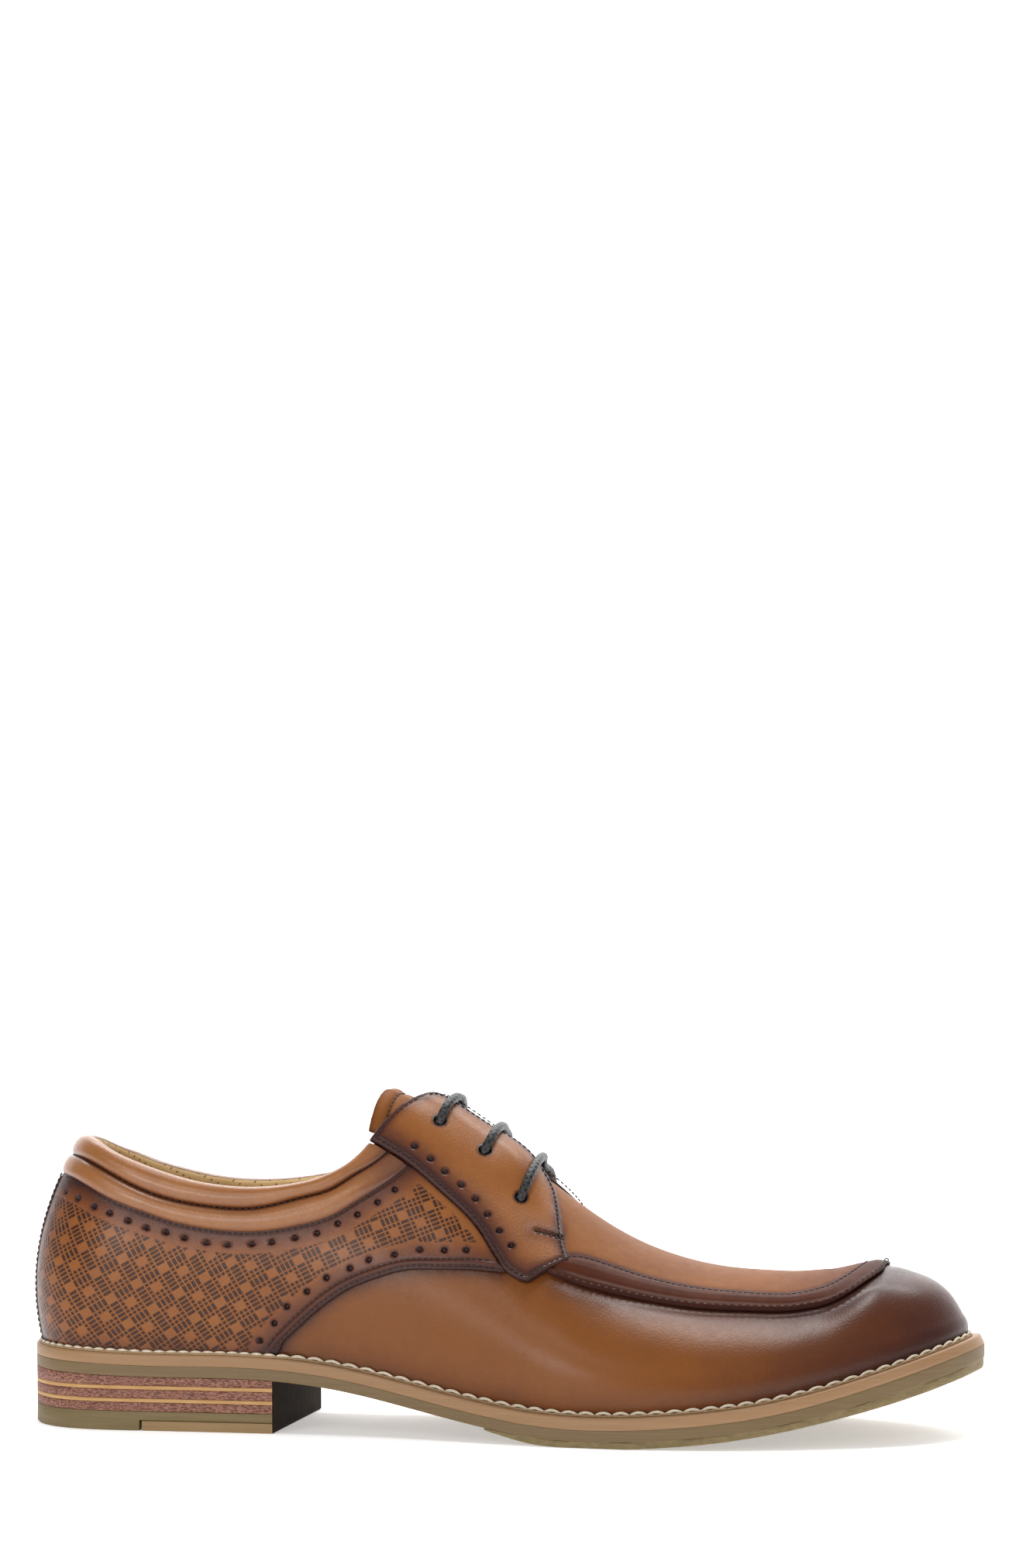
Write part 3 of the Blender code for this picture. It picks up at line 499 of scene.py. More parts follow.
def distance_to(points: Array, line: Array) -> Array:
    """Distance in millimetres from each point to the nearest point of a dense line."""
    rows = points.reshape(-1, 3)
    found = np.empty(len(rows))
    for start in range(0, len(rows), 4000):
        block = rows[start:start + 4000]
        gaps = ((block[:, None] - line[None]) ** 2).sum(-1)
        found[start:start + 4000] = np.sqrt(gaps.min(axis=1))
    return found.reshape(points.shape[:-1]) / MM


def dense(line: Array, step: float = 0.4 * MM) -> Array:
    """Points at even steps along a polyline."""
    lengths = lengths_along(line)
    at = np.linspace(0, lengths[-1], max(int(lengths[-1] / step), 2))
    return np.stack([np.interp(at, lengths, line[:, axis]) for axis in range(3)], -1)


def ruled(first: Edge, second: Edge, shares: Array, crossings: Array) -> Array:
    """Places on crossings from a first edge to a second, even over the foot's round.

    Args:
        first: The edge where each crossing starts.
        second: The edge where each crossing ends.
        shares: Shares of the edges' lengths, one for each crossing.
        crossings: Shares of the way across.

    Returns:
        An array of crossings by steps by wrap and rise.
    """
    start, end = first(shares)[:, None], second(shares)[:, None]
    across = crossings[None, :]
    wrap = start[..., 0] + (end[..., 0] - start[..., 0]) * across
    low, high = climb_share(start[..., 1]), climb_share(end[..., 1])
    return np.stack([wrap, climb(low + (high - low) * across)], -1)


def places_at(wraps: Array, rises: Array) -> Array:
    """Places over a grid, from wraps and rises that cover it or repeat over it."""
    return np.stack(np.broadcast_arrays(wraps, rises), -1)


def both_sides(places: Array) -> Array:
    """Places from the lateral edge over the ridge to the medial edge, in one grid."""
    far = places[:, -2::-1].copy()
    far[..., 0] = 2 - far[..., 0]
    return np.concatenate([places, far], axis=1)


def new_piece(name: str, points: Array, faces: list, material: bpy.types.Material,
              shades: dict[str, Array] | None = None, sharp: float = 50,
              weld: bool = True) -> bpy.types.Object:
    """An object from points and faces, with values at its points for the shaders.

    Args:
        name: The piece's name.
        points: Rows of x, y and z.
        faces: Rows of point numbers.
        material: The finish.
        shades: Values at each point, by name.
        sharp: The angle in degrees past which an edge stays sharp.
        weld: Whether points that meet become one.
    """
    mesh = bpy.data.meshes.new(name)
    mesh.from_pydata(points.tolist(), [], faces)
    for key, values in (shades or {}).items():
        layer = mesh.attributes.new(key, "FLOAT", "POINT")
        layer.data.foreach_set("value", np.asarray(values, np.float32).ravel())
    if weld:
        work = bmesh.new()
        work.from_mesh(mesh)
        bmesh.ops.remove_doubles(work, verts=work.verts, dist=1e-6)
        bmesh.ops.dissolve_degenerate(work, edges=work.edges, dist=1e-7)
        work.to_mesh(mesh)
        work.free()
    mesh.materials.append(material)
    mesh.shade_smooth()
    mesh.set_sharp_from_angle(angle=math.radians(sharp))
    piece = bpy.data.objects.new(name, mesh)
    bpy.context.scene.collection.objects.link(piece)
    return piece


def grid_cells(columns: int, rows: int, closed: bool = False) -> Array:
    """The four point numbers of each cell of a grid stored column by column."""
    column = np.arange(columns if closed else columns - 1)[:, None]
    row = np.arange(rows - 1)[None]
    here, there = column * rows + row, (column + 1) % columns * rows + row
    return np.stack([here, there, there + 1, here + 1], -1)


def ring_faces(rings: int, sides: int, closed: bool = False) -> list[list[int]]:
    """Faces between rings of points, each joined to the next.

    Args:
        rings: How many rings there are.
        sides: How many points each has.
        closed: Whether the last one joins the first.
    """
    faces = []
    for ring in range(rings if closed else rings - 1):
        here, there = ring * sides, (ring + 1) % rings * sides
        faces += [[here + side, here + (side + 1) % sides, there + (side + 1) % sides, there + side]
                  for side in range(sides)]
    return faces


def make_slab(name: str, top: Array, bottom: Array, material: bpy.types.Material,
              shades: dict[str, Array] | None = None, keep: Array | None = None,
              closed: bool = False, sharp: float = 50) -> bpy.types.Object:
    """A closed sheet between two surfaces of like columns and rows.

    Args:
        name: The piece's name.
        top: The outer surface's points.
        bottom: The inner surface's points.
        material: The finish.
        shades: Values over the surface for the shader, the same on both faces.
        keep: Which cells are kept. The others become holes with walls.
        closed: Whether the last column meets the first.
        sharp: The angle past which an edge stays sharp.
    """
    columns, rows = top.shape[:2]
    count = columns * rows
    cells = grid_cells(columns, rows, closed)
    cells = cells.reshape(-1, 4) if keep is None else cells[keep]
    edges = np.concatenate([cells[:, [corner, (corner + 1) % 4]] for corner in range(4)])
    forward = edges[:, 0] * count + edges[:, 1]
    backward = edges[:, 1] * count + edges[:, 0]
    rim = edges[~np.isin(forward, backward)]
    walls = np.stack([rim[:, 1], rim[:, 0], rim[:, 0] + count, rim[:, 1] + count], -1)
    faces = np.concatenate([cells, cells[:, ::-1] + count, walls]).tolist()
    points = np.concatenate([top.reshape(-1, 3), bottom.reshape(-1, 3)])
    used = np.unique(np.array(faces))
    renumber = np.zeros(len(points), int)
    renumber[used] = np.arange(len(used))
    faces = renumber[np.array(faces)].tolist()
    both = {key: np.tile(np.asarray(value, float).ravel(), 2)[used] for key, value in (shades or {}).items()}
    return new_piece(name, points[used], faces, material, both, sharp)


def dress(piece: bpy.types.Object, slot: str, *nodes: str) -> bpy.types.Object:
    """Let a piece ride on the shoe and take the place of CAD nodes.

    Args:
        piece: The piece, in its place.
        slot: The record's material slot. Not used.
        nodes: The CAD nodes that it stands for.
    """
    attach(piece, BODY)
    if nodes:
        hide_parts(*nodes)
    triangles = sum(len(face.vertices) - 2 for face in piece.data.polygons) if piece.type == "MESH" else 0
    LOG.info("%s: %d triangles, for %s", piece.name, triangles, ", ".join(nodes) or "no node")
    return piece


class Panel:
    """A leather panel on the last: a grid of places with heights and shading values."""

    def __init__(self, places: Array) -> None:
        """Find the grid's points and directions.

        Args:
            places: Columns by rows of wrap and rise, in the order in which wrap grows.
        """
        self.places = places
        self.base = LAST.skin(places[..., 0], places[..., 1])
        self.normal = LAST.normal(places[..., 0], places[..., 1])
        self.height = np.zeros(places.shape[:2])
        # burnish: a darker tone, part real burnish and part painted shade. ink: dark lines and spots, part
        # edge ink and part painted shade in holes and beside overlapping edges.
        self.burnish = np.zeros(places.shape[:2])
        self.ink = np.zeros(places.shape[:2])
        self.shades: dict[str, Array] = {}
        self.keep: Array | None = None

    def over_sole(self) -> Array:
        """Height in millimetres of each point over the sole's top."""
        return (self.base[..., 2] - LAST.sole_top(self.base[..., 0] + SOLE_LENGTH / 2)) / MM

    def away(self, line: Line) -> Array:
        """Distance in millimetres of each point from a line on the last."""
        return distance_to(self.base, dense(line.points()))

    def gather(self, centre: Array, radius: float, tightness: float) -> Array:
        """Draw the points near a hole's rim on to it, and return distances in millimetres.

        Args:
            centre: The hole's centre on the base layer.
            radius: The hole's radius.
            tightness: What is left of each point's distance from the rim.
        """
        out = self.base - centre
        gap = np.linalg.norm(out, axis=-1)
        near = np.abs(gap - radius) < 0.34 * radius
        wanted = np.where(near, radius + (gap - radius) * tightness, gap)
        self.base = self.base + out * ((wanted - gap) / np.maximum(gap, 1e-9))[..., None]
        return wanted / MM

    def punch(self, holes: Sequence, side: Side, radius: float = 1.0 * MM, depth: float = 1.1 * MM) -> None:
        """Blind holes, painted dark inside as shade, each with a darker ring round it.

        Args:
            holes: Rows of wrap and rise on the lateral side.
            side: The side of the foot.
            radius: Each hole's radius.
            depth: Each hole's depth.
        """
        for wrap, rise in holes:
            centre = LAST.skin(side.wrap(wrap), rise)
            gap = self.gather(centre, radius, 0.22)
            inside = 1 - smooth_step(gap, 0.84 * radius / MM, 1.04 * radius / MM)
            self.height -= depth * inside
            self.height += 0.07 * MM * bell(gap - 1.3 * radius / MM, 0.28)
            # Painted shade inside each hole.
            self.ink = np.maximum(self.ink, 1 - smooth_step(gap, 0.93 * radius / MM, 1.12 * radius / MM))
            self.burnish = np.maximum(self.burnish, 0.85 * bell(np.maximum(gap - 1.0, 0), 0.9))

    def open_holes(self, holes: Sequence, side: Side, radius: float) -> None:
        """Holes cut right through.

        Args:
            holes: Rows of wrap and rise on the lateral side.
            side: The side of the foot.
            radius: Each hole's radius.
        """
        columns, rows = self.height.shape
        keep = np.ones((columns - 1, rows - 1), bool)
        for wrap, rise in holes:
            centre = LAST.skin(side.wrap(wrap), rise)
            gap = self.gather(centre, radius, 0.12) * MM
            middle = (gap[:-1, :-1] + gap[1:, :-1] + gap[:-1, 1:] + gap[1:, 1:]) / 4
            keep &= middle > radius
            self.ink = np.maximum(self.ink, 1 - smooth_step(gap, 1.02 * radius, 1.25 * radius))
            self.burnish = np.maximum(self.burnish, 0.3 * bell(np.maximum(gap / MM - 2.0, 0), 0.9))
        self.keep = keep

    def border(self) -> Array:
        """Distance in millimetres of each point from the panel's nearest edge."""
        edges = [self.base[0], self.base[-1], self.base[:, 0], self.base[:, -1]]
        return distance_to(self.base, np.concatenate([dense(edge) for edge in edges]))

    def chart(self) -> None:
        """Store how far along and up the foot each point lies, in millimetres."""
        wraps, rises = np.linspace(0, 0.66, 90), np.linspace(0, 0.97, 120)
        side = 2 - wraps if self.places[..., 0].mean() > 1 else wraps
        surface = LAST.surface(side[:, None], rises[None])
        up = np.zeros(surface.shape[:2])
        up[:, 1:] = np.cumsum(np.linalg.norm(np.diff(surface, axis=1), axis=-1), axis=1)
        middle = surface[:, 45]
        along = lengths_along(middle)
        wrap, rise = self.places[..., 0], self.places[..., 1]
        wrap = np.abs(np.minimum(wrap, 2 - wrap))
        column = np.clip(np.interp(wrap, wraps, np.arange(90.0)), 0, 88.999)
        row = np.clip(np.interp(rise, rises, np.arange(120.0)), 0, 118.999)
        left, low = column.astype(int), row.astype(int)
        a, b = column - left, row - low
        height = ((1 - a) * (1 - b) * up[left, low] + a * (1 - b) * up[left + 1, low]
                  + (1 - a) * b * up[left, low + 1] + a * b * up[left + 1, low + 1])
        self.shades["along_mm"] = np.interp(wrap, wraps, along) / MM
        self.shades["up_mm"] = height / MM

    def build(self, name: str, material: bpy.types.Material, underside: float | Array,
              sharp: float = 60, closed: bool = False) -> bpy.types.Object:
        """Make the panel's closed sheet.

        Args:
            name: The piece's name.
            material: The finish.
            underside: Height of the underside off the base layer.
            sharp: The angle past which an edge stays sharp.
            closed: Whether the last column meets the first.
        """
        low = np.broadcast_to(np.asarray(underside, float), self.height.shape)
        top = self.base + self.normal * np.maximum(self.height, low + 0.15 * MM)[..., None]
        bottom = self.base + self.normal * low[..., None]
        shades = {"burnish": np.clip(self.burnish, 0, 1), "ink": np.clip(self.ink, 0, 1), **self.shades}
        return make_slab(name, top, bottom, material, shades, self.keep, closed, sharp)


def rounded(gap: Array, reach: float) -> Array:
    """A share that climbs from 0.3 to 1 over a cut edge's round.

    Args:
        gap: Distance from the edge in millimetres.
        reach: Width of the round in millimetres.
    """
    across = np.clip(gap / reach, 0, 1)
    return 0.3 + 0.7 * np.sqrt(1 - (1 - across) ** 2)


class Value:
    """A socket's number that takes part in Python arithmetic by adding Math nodes."""

    def __init__(self, graph: "Graph", socket: bpy.types.NodeSocket) -> None:
        """Wrap a socket of a graph."""
        self.graph = graph
        self.socket = socket

    def math(self, operation: str, *others: "Value | float") -> "Value":
        """The result of a Math node on this value and others."""
        return self._math(operation, self, *others)

    def _math(self, operation: str, *terms: "Value | float") -> "Value":
        """The result of a Math node on its terms in order."""
        node = self.graph.node("ShaderNodeMath", {"operation": operation}, dict(enumerate(terms)))
        return Value(self.graph, node.outputs[0])

    def __add__(self, other: "Value | float") -> "Value":
        """This value plus another."""
        return self.math("ADD", other)

    __radd__ = __add__

    def __mul__(self, other: "Value | float") -> "Value":
        """This value times another."""
        return self.math("MULTIPLY", other)

    __rmul__ = __mul__

    def __sub__(self, other: "Value | float") -> "Value":
        """This value less another."""
        return self.math("SUBTRACT", other)

    def __rsub__(self, other: float) -> "Value":
        """A number less this value."""
        return self._math("SUBTRACT", other, self)

    def __truediv__(self, other: "Value | float") -> "Value":
        """This value divided by another."""
        return self.math("DIVIDE", other)

    def __mod__(self, other: float) -> "Value":
        """What is left of this value past whole multiples of a number."""
        return self.math("FLOORED_MODULO", other)

    def fraction(self) -> "Value":
        """The part past the whole number below."""
        return self.math("FRACT")

    def size(self) -> "Value":
        """The value without its sign."""
        return self.math("ABSOLUTE")

    def most(self, other: "Value | float") -> "Value":
        """The larger of this value and another."""
        return self.math("MAXIMUM", other)

    def above(self, limit: float) -> "Value":
        """1 where the value is above a limit, and 0 elsewhere."""
        return self.math("GREATER_THAN", limit)

    def climb(self, low: float, high: float) -> "Value":
        """0 below low, 1 above high and a soft climb between."""
        node = self.graph.node("ShaderNodeMapRange", {"interpolation_type": "SMOOTHSTEP"},
                               {"Value": self, "From Min": low, "From Max": high})
        return Value(self.graph, node.outputs["Result"])


class Graph:
    """The nodes of one material, with its Principled shader at the end."""

    def __init__(self, name: str, roughness: float, coat: float = 0.0, coat_roughness: float = 0.25,
                 mirror: float = 0.5, glow: float = 0.0) -> None:
        """Start a material and set what is the same all over it.

        Args:
            name: The material's name.
            roughness: How matt it is.
            coat: The share of a clear coat.
            coat_roughness: How matt that coat is.
            mirror: The level of its own reflection.
            glow: The strength of white light that it gives off.
        """
        self.material = bpy.data.materials.new(name)
        self.material.use_nodes = True
        self.tree = self.material.node_tree
        self.shader = self.tree.nodes["Principled BSDF"]
        self.shader.inputs["Roughness"].default_value = roughness
        self.shader.inputs["Coat Weight"].default_value = coat
        self.shader.inputs["Coat Roughness"].default_value = coat_roughness
        self.shader.inputs["Specular IOR Level"].default_value = mirror
        self.shader.inputs["Emission Color"].default_value = (1.0, 1.0, 1.0, 1.0)
        self.shader.inputs["Emission Strength"].default_value = glow

    def put(self, socket: bpy.types.NodeSocket, value: Any) -> None:
        """Link a value into a socket, or set the socket to a number or colour."""
        if isinstance(value, Value):
            self.tree.links.new(value.socket, socket)
        elif isinstance(value, bpy.types.NodeSocket):
            self.tree.links.new(value, socket)
        elif isinstance(value, tuple) and len(value) == 3 and socket.type == "RGBA":
            socket.default_value = (*value, 1.0)
        else:
            socket.default_value = value

    def node(self, kind: str, settings: dict[str, Any] | None = None,
             inputs: dict[str | int, Any] | None = None) -> bpy.types.Node:
        """Add any node.

        Args:
            kind: Its type.
            settings: Its own settings, set first. "stops" fills a colour ramp.
            inputs: Values or links for its sockets, by name or number.
        """
        node = self.tree.nodes.new(kind)
        for key, value in (settings or {}).items():
            if key == "stops":
                elements = node.color_ramp.elements
                while len(elements) < len(value):
                    elements.new(0.5)
                for element, (position, colour) in zip(elements, value):
                    element.position = position
                    element.color = (*colour, 1.0)
            else:
                setattr(node, key, value)
        for key, value in (inputs or {}).items():
            self.put(node.inputs[key], value)
        return node

    def attribute(self, name: str) -> Value:
        """A value stored at the mesh's points."""
        node = self.node("ShaderNodeAttribute", {"attribute_name": name})
        return Value(self, node.outputs["Fac"])

    def place(self) -> bpy.types.NodeSocket:
        """The object's own coordinates in metres."""
        return self.node("ShaderNodeTexCoord").outputs["Object"]

    def noise(self, size: float | tuple[float, float, float], detail: float = 3.0) -> Value:
        """Cloudy noise from 0 to 1.

        Args:
            size: The size of its clouds in metres, or their size along each axis.
            detail: How many finer layers it has.
        """
        sizes = size if isinstance(size, tuple) else (size, size, size)
        scaled = self.node("ShaderNodeVectorMath", {"operation": "MULTIPLY"},
                           {0: self.place(), 1: tuple(1 / s for s in sizes)})
        inputs = {"Vector": scaled.outputs[0], "Scale": 1.0, "Detail": detail}
        node = self.node("ShaderNodeTexNoise", None, inputs)
        return Value(self, node.outputs["Fac"])

    def pebbles(self, size: float) -> Value:
        """Distance from the middle of the nearest of many small cells, from 0 to about 1."""
        node = self.node("ShaderNodeTexVoronoi", {"feature": "SMOOTH_F1"},
                         {"Vector": self.place(), "Scale": 1 / size, "Smoothness": 0.6})
        return Value(self, node.outputs["Distance"])

    def blend(self, share: Value, first: Any, second: Any) -> bpy.types.NodeSocket:
        """A colour between two colours."""
        node = self.node("ShaderNodeMix", {"data_type": "RGBA"}, {0: share, 6: first, 7: second})
        return node.outputs[2]

    def ramp(self, share: Value, *stops: tuple[float, Colour]) -> bpy.types.NodeSocket:
        """A colour read from a ramp."""
        return self.node("ShaderNodeValToRGB", {"stops": stops}, {0: share}).outputs["Color"]

    def finish(self, colour: Any, roughness: Value | None = None,
               relief: Value | None = None) -> bpy.types.Material:
        """Feed the shader.

        Args:
            colour: The base colour.
            roughness: The roughness, where it varies.
            relief: The height of the fine relief in metres.
        """
        self.put(self.shader.inputs["Base Color"], colour)
        if roughness is not None:
            self.put(self.shader.inputs["Roughness"], roughness)
        if relief is not None:
            bump = self.node("ShaderNodeBump", None, {"Strength": 1.0, "Distance": 1.0, "Height": relief})
            self.put(self.shader.inputs["Normal"], bump.outputs["Normal"])
        return self.material


@dataclass(frozen=True)
class Lattice:
    """A plaid of pressed dashes and dots between fine ridges, charted on a slanted block.

    A block is six ridges by seven. One corner of it is plain. Falling dashes run beside
    that corner, rising dashes stand under it, and dots ring a second plain square.
    """

    rising: float = 31.0
    falling: float = -57.0
    rising_pitch: float = 1.63
    falling_pitch: float = 1.33
    rising_ridges: int = 6
    falling_ridges: int = 7
    plain: int = 2
    second_plain: float = 4.0
    half_slit: float = 0.31
    depth: float = 0.45 * MM

    def slit(self, gap: Value, half: float) -> Value:
        """1 within half a slit of its middle, and 0 on the ridges beside it."""
        return 1 - gap.size().climb(half - 0.06, half + 0.06)

    def pressed(self, graph: Graph) -> Value:
        """1 where the leather is pressed in, and 0 on ridges and plain squares."""
        along, up = graph.attribute("along_mm"), graph.attribute("up_mm")
        one, two = math.radians(self.rising), math.radians(self.falling)
        turn = math.sin(two - one)
        u = (along * math.sin(two) - up * math.cos(two)) / (turn * self.rising_pitch)
        v = (up * math.cos(one) - along * math.sin(one)) / (turn * self.falling_pitch)
        slit_u, slit_v = (self.slit(line.fraction() - 0.5, self.half_slit) for line in (u, v))
        column, row = u % float(self.rising_ridges), v % float(self.falling_ridges)
        long_u, long_v = (self.slit(place - self.plain / 2, 0.5 + self.half_slit) for place in (column, row))
        beside, under = column.above(self.plain), row.above(self.plain)
        ring = ((column - self.second_plain).size().above(self.plain / 2)
                .most((row - self.second_plain).size().above(self.plain / 2)))
        dots = beside * under * slit_u * slit_v * ring
        return (dots + beside * slit_u * long_v + under * slit_v * long_u) * graph.attribute("lattice")


@dataclass(frozen=True)
class Leather:
    """Burnished calf leather: pebble grain, cloudy dye, darker edges and hollows, part burnish and part
    painted shade, and a polished coat.
    """

    name: str
    light: Colour
    middle: Colour
    dark: Colour
    # Near black, for inked edges and for painted shade in holes and pressed slits.
    ink: Colour = (0.030, 0.010, 0.008)
    roughness: float = 0.37
    coat: float = 0.14
    mirror: float = 0.22
    grain: float = 0.055 * MM
    grain_size: float = 0.62 * MM
    lattice: Lattice | None = None

    def make(self) -> bpy.types.Material:
        """Build the finish."""
        graph = Graph(self.name, self.roughness, self.coat, 0.25, self.mirror)
        cloud, mist = graph.noise(16 * MM), graph.noise(2.6 * MM, 4.0)
        # Darker where the burnish values are high: real burnish and painted shade.
        tone = graph.attribute("burnish") + (cloud - 0.5) * 0.34 + (mist - 0.5) * 0.16
        colour = graph.ramp(tone, (0.0, self.light), (0.45, self.middle), (1.0, self.dark))
        ink = graph.attribute("ink")
        pebbles = graph.pebbles(self.grain_size)
        relief = pebbles * self.grain + graph.noise(0.28 * MM, 2.0) * (0.35 * self.grain)
        if self.lattice:
            pressed = self.lattice.pressed(graph)
            # The pressed slits are painted near black: painted shade in the hollows.
            colour = graph.blend(pressed * 0.92, colour, self.ink)
            relief = relief - pressed * self.lattice.depth
        colour = graph.blend(ink * 0.93, colour, self.ink)
        roughness = (mist - 0.5) * 0.16 + pebbles * 0.10 + (self.roughness - 0.05)
        return graph.finish(colour, roughness, relief)


@dataclass(frozen=True)
class Compound:
    """Rubber, board or thread: a streaked or speckled mix of two colours."""

    name: str
    light: Colour
    dark: Colour
    roughness: float = 0.6
    size: tuple[float, float, float] = (4 * MM, 4 * MM, 4 * MM)
    detail: float = 3.0
    spread: float = 0.22
    relief: float = 0.02 * MM
    coat: float = 0.0
    mirror: float = 0.4

    def make(self) -> bpy.types.Material:
        """Build the finish."""
        graph = Graph(self.name, self.roughness, self.coat, mirror=self.mirror)
        streaks = graph.noise(self.size, self.detail)
        colour = graph.ramp(streaks, (0.5 - self.spread, self.dark), (0.5 + self.spread, self.light))
        fine = graph.noise(0.5 * MM, 3.0)
        relief = streaks * self.relief + fine * self.relief
        return graph.finish(colour, (fine - 0.5) * 0.15 + self.roughness, relief)


@dataclass(frozen=True)
class PinholedLining:
    """Thin lining leather with rows of fine pinholes."""

    name: str
    light: Colour
    dark: Colour
    pitch_mm: float = 2.6
    hole_mm: float = 0.42

    def make(self) -> bpy.types.Material:
        """Build the finish."""
        graph = Graph(self.name, 0.62)
        along, up = graph.attribute("along_mm") / self.pitch_mm, graph.attribute("up_mm") / self.pitch_mm
        shifted = up + (along % 2.0).above(1.0) * 0.5
        s, t = along.fraction() - 0.5, shifted.fraction() - 0.5
        gap = (s * s + t * t).math("SQRT") * self.pitch_mm
        hole = 1 - gap.climb(self.hole_mm * 0.6, self.hole_mm)
        cloud = graph.noise(9 * MM)
        # Darker where the burnish values are high, which on the lining is painted shade deep inside the
        # shoe.
        colour = graph.ramp(cloud + graph.attribute("burnish") * 0.6, (0.25, self.light), (0.95, self.dark))
        # The pinholes are painted dark as shade; seams and edges get dark lines.
        colour = graph.blend((hole * 0.75).most(graph.attribute("ink")), colour, (0.09, 0.045, 0.014))
        return graph.finish(colour, None, graph.noise(0.6 * MM) * (0.03 * MM) - hole * (0.2 * MM))


@dataclass(frozen=True)
class Braid:
    """A round waxed cord, braided from strands that cross along it."""

    name: str
    light: Colour
    dark: Colour
    strands: float = 4.0
    pitch_mm: float = 4.2
    depth: float = 0.14 * MM

    def make(self) -> bpy.types.Material:
        """Build the finish."""
        graph = Graph(self.name, 0.40, coat=0.06, mirror=0.3)
        turn = graph.attribute("turn_sin").math("ARCTAN2", graph.attribute("turn_cos")) * self.strands
        along = graph.attribute("along_mm") * (2 * math.pi * self.strands / 2 / self.pitch_mm)
        one, two = (turn + along).math("SINE"), (turn - along).math("SINE")
        weave = one.most(two) * 0.5 + 0.5
        fibres = graph.noise(0.35 * MM, 3.0)
        # Lighter on the strands' crowns and darker between them: painted shade.
        colour = graph.ramp(weave * 0.75 + fibres * 0.35, (0.25, self.dark), (0.95, self.light))
        return graph.finish(colour, (fibres - 0.5) * 0.3 + 0.42, weave * self.depth + fibres * (0.03 * MM))


TAN = (0.205, 0.064, 0.010)
TAN_SHADE = (0.115, 0.033, 0.009)
PLUM = (0.048, 0.013, 0.009)


class Finishes:
    """The shoe's materials, one of each."""

    def __init__(self) -> None:
        """Make them all."""
        lattice = Lattice()
        self.vamp = Leather("vamp_leather", TAN, TAN_SHADE, PLUM).make()
        self.quarter = Leather("plaid_pressed_leather", (0.290, 0.098, 0.020), (0.160, 0.047, 0.014), PLUM,
                               lattice=lattice).make()
        self.facing = Leather("facing_leather", (0.300, 0.104, 0.022), (0.140, 0.041, 0.013), PLUM).make()
        self.strap = Leather("dark_strap_leather", (0.090, 0.030, 0.014), (0.050, 0.017, 0.010),
                             (0.028, 0.010, 0.008)).make()
        self.collar = Leather("collar_leather", (0.340, 0.130, 0.032), (0.170, 0.055, 0.017), PLUM,
                              coat=0.30, mirror=0.5, grain_size=0.8 * MM).make()
        self.apron = Leather("apron_leather", (0.250, 0.088, 0.022), (0.120, 0.034, 0.012), PLUM,
                             roughness=0.52, coat=0.0, mirror=0.08, grain=0.025 * MM).make()
        self.lining = PinholedLining("pinholed_lining", (0.640, 0.430, 0.190), (0.470, 0.270, 0.090)).make()
        self.welt = Compound("welt_rand", (0.350, 0.200, 0.095), (0.300, 0.166, 0.077), 0.50,
                             (30 * MM, 30 * MM, 0.5 * MM), coat=0.06).make()
        self.midsole = Compound("khaki_midsole", (0.200, 0.133, 0.060), (0.168, 0.108, 0.047), 0.55,
                                (25 * MM, 25 * MM, 0.6 * MM)).make()
        self.outsole = Compound("gum_outsole", (0.260, 0.190, 0.085), (0.180, 0.130, 0.055), 0.62,
                                (3 * MM, 3 * MM, 1.2 * MM), relief=0.10 * MM).make()
        self.stack = Compound("speckled_heel_board", (0.360, 0.165, 0.110), (0.110, 0.036, 0.024), 0.62,
                              (1.1 * MM, 1.1 * MM, 0.35 * MM), detail=5.0, spread=0.10,
                              relief=0.05 * MM).make()
        self.line = Compound("pale_heel_line", (0.620, 0.370, 0.155), (0.480, 0.255, 0.090), 0.58,
                             (8 * MM, 8 * MM, 0.4 * MM)).make()
        self.lift = Compound("heel_lift_rubber", (0.215, 0.155, 0.068), (0.175, 0.125, 0.052), 0.58,
                             (20 * MM, 20 * MM, 0.8 * MM)).make()
        self.insert = Compound("lift_insert_rubber", (0.330, 0.215, 0.100), (0.280, 0.180, 0.080), 0.55,
                               (20 * MM, 20 * MM, 0.8 * MM)).make()
        # Near black: painted shade on the heel's front.
        self.breast = Compound("heel_breast_shade_board", (0.030, 0.019, 0.012), (0.016, 0.010, 0.007), 0.8,
                                mirror=0.05).make()
        self.thread = Compound("dark_thread", (0.050, 0.020, 0.016), (0.018, 0.008, 0.008), 0.5,
                               (0.4 * MM, 0.4 * MM, 0.4 * MM)).make()
        self.cord = Compound("ivory_welt_cord", (0.800, 0.720, 0.580), (0.600, 0.500, 0.360), 0.6,
                             (0.5 * MM, 0.5 * MM, 0.5 * MM), relief=0.06 * MM).make()
        self.seat_cord = Compound("tan_welt_cord", (0.420, 0.280, 0.150), (0.280, 0.170, 0.080), 0.65,
                                  (0.5 * MM, 0.5 * MM, 0.5 * MM), relief=0.06 * MM).make()
        self.lace = Braid("waxed_lace", (0.040, 0.040, 0.042), (0.006, 0.006, 0.007)).make()
        self.insole = Compound("insole_leather", (0.480, 0.290, 0.110), (0.400, 0.230, 0.080), 0.6).make()


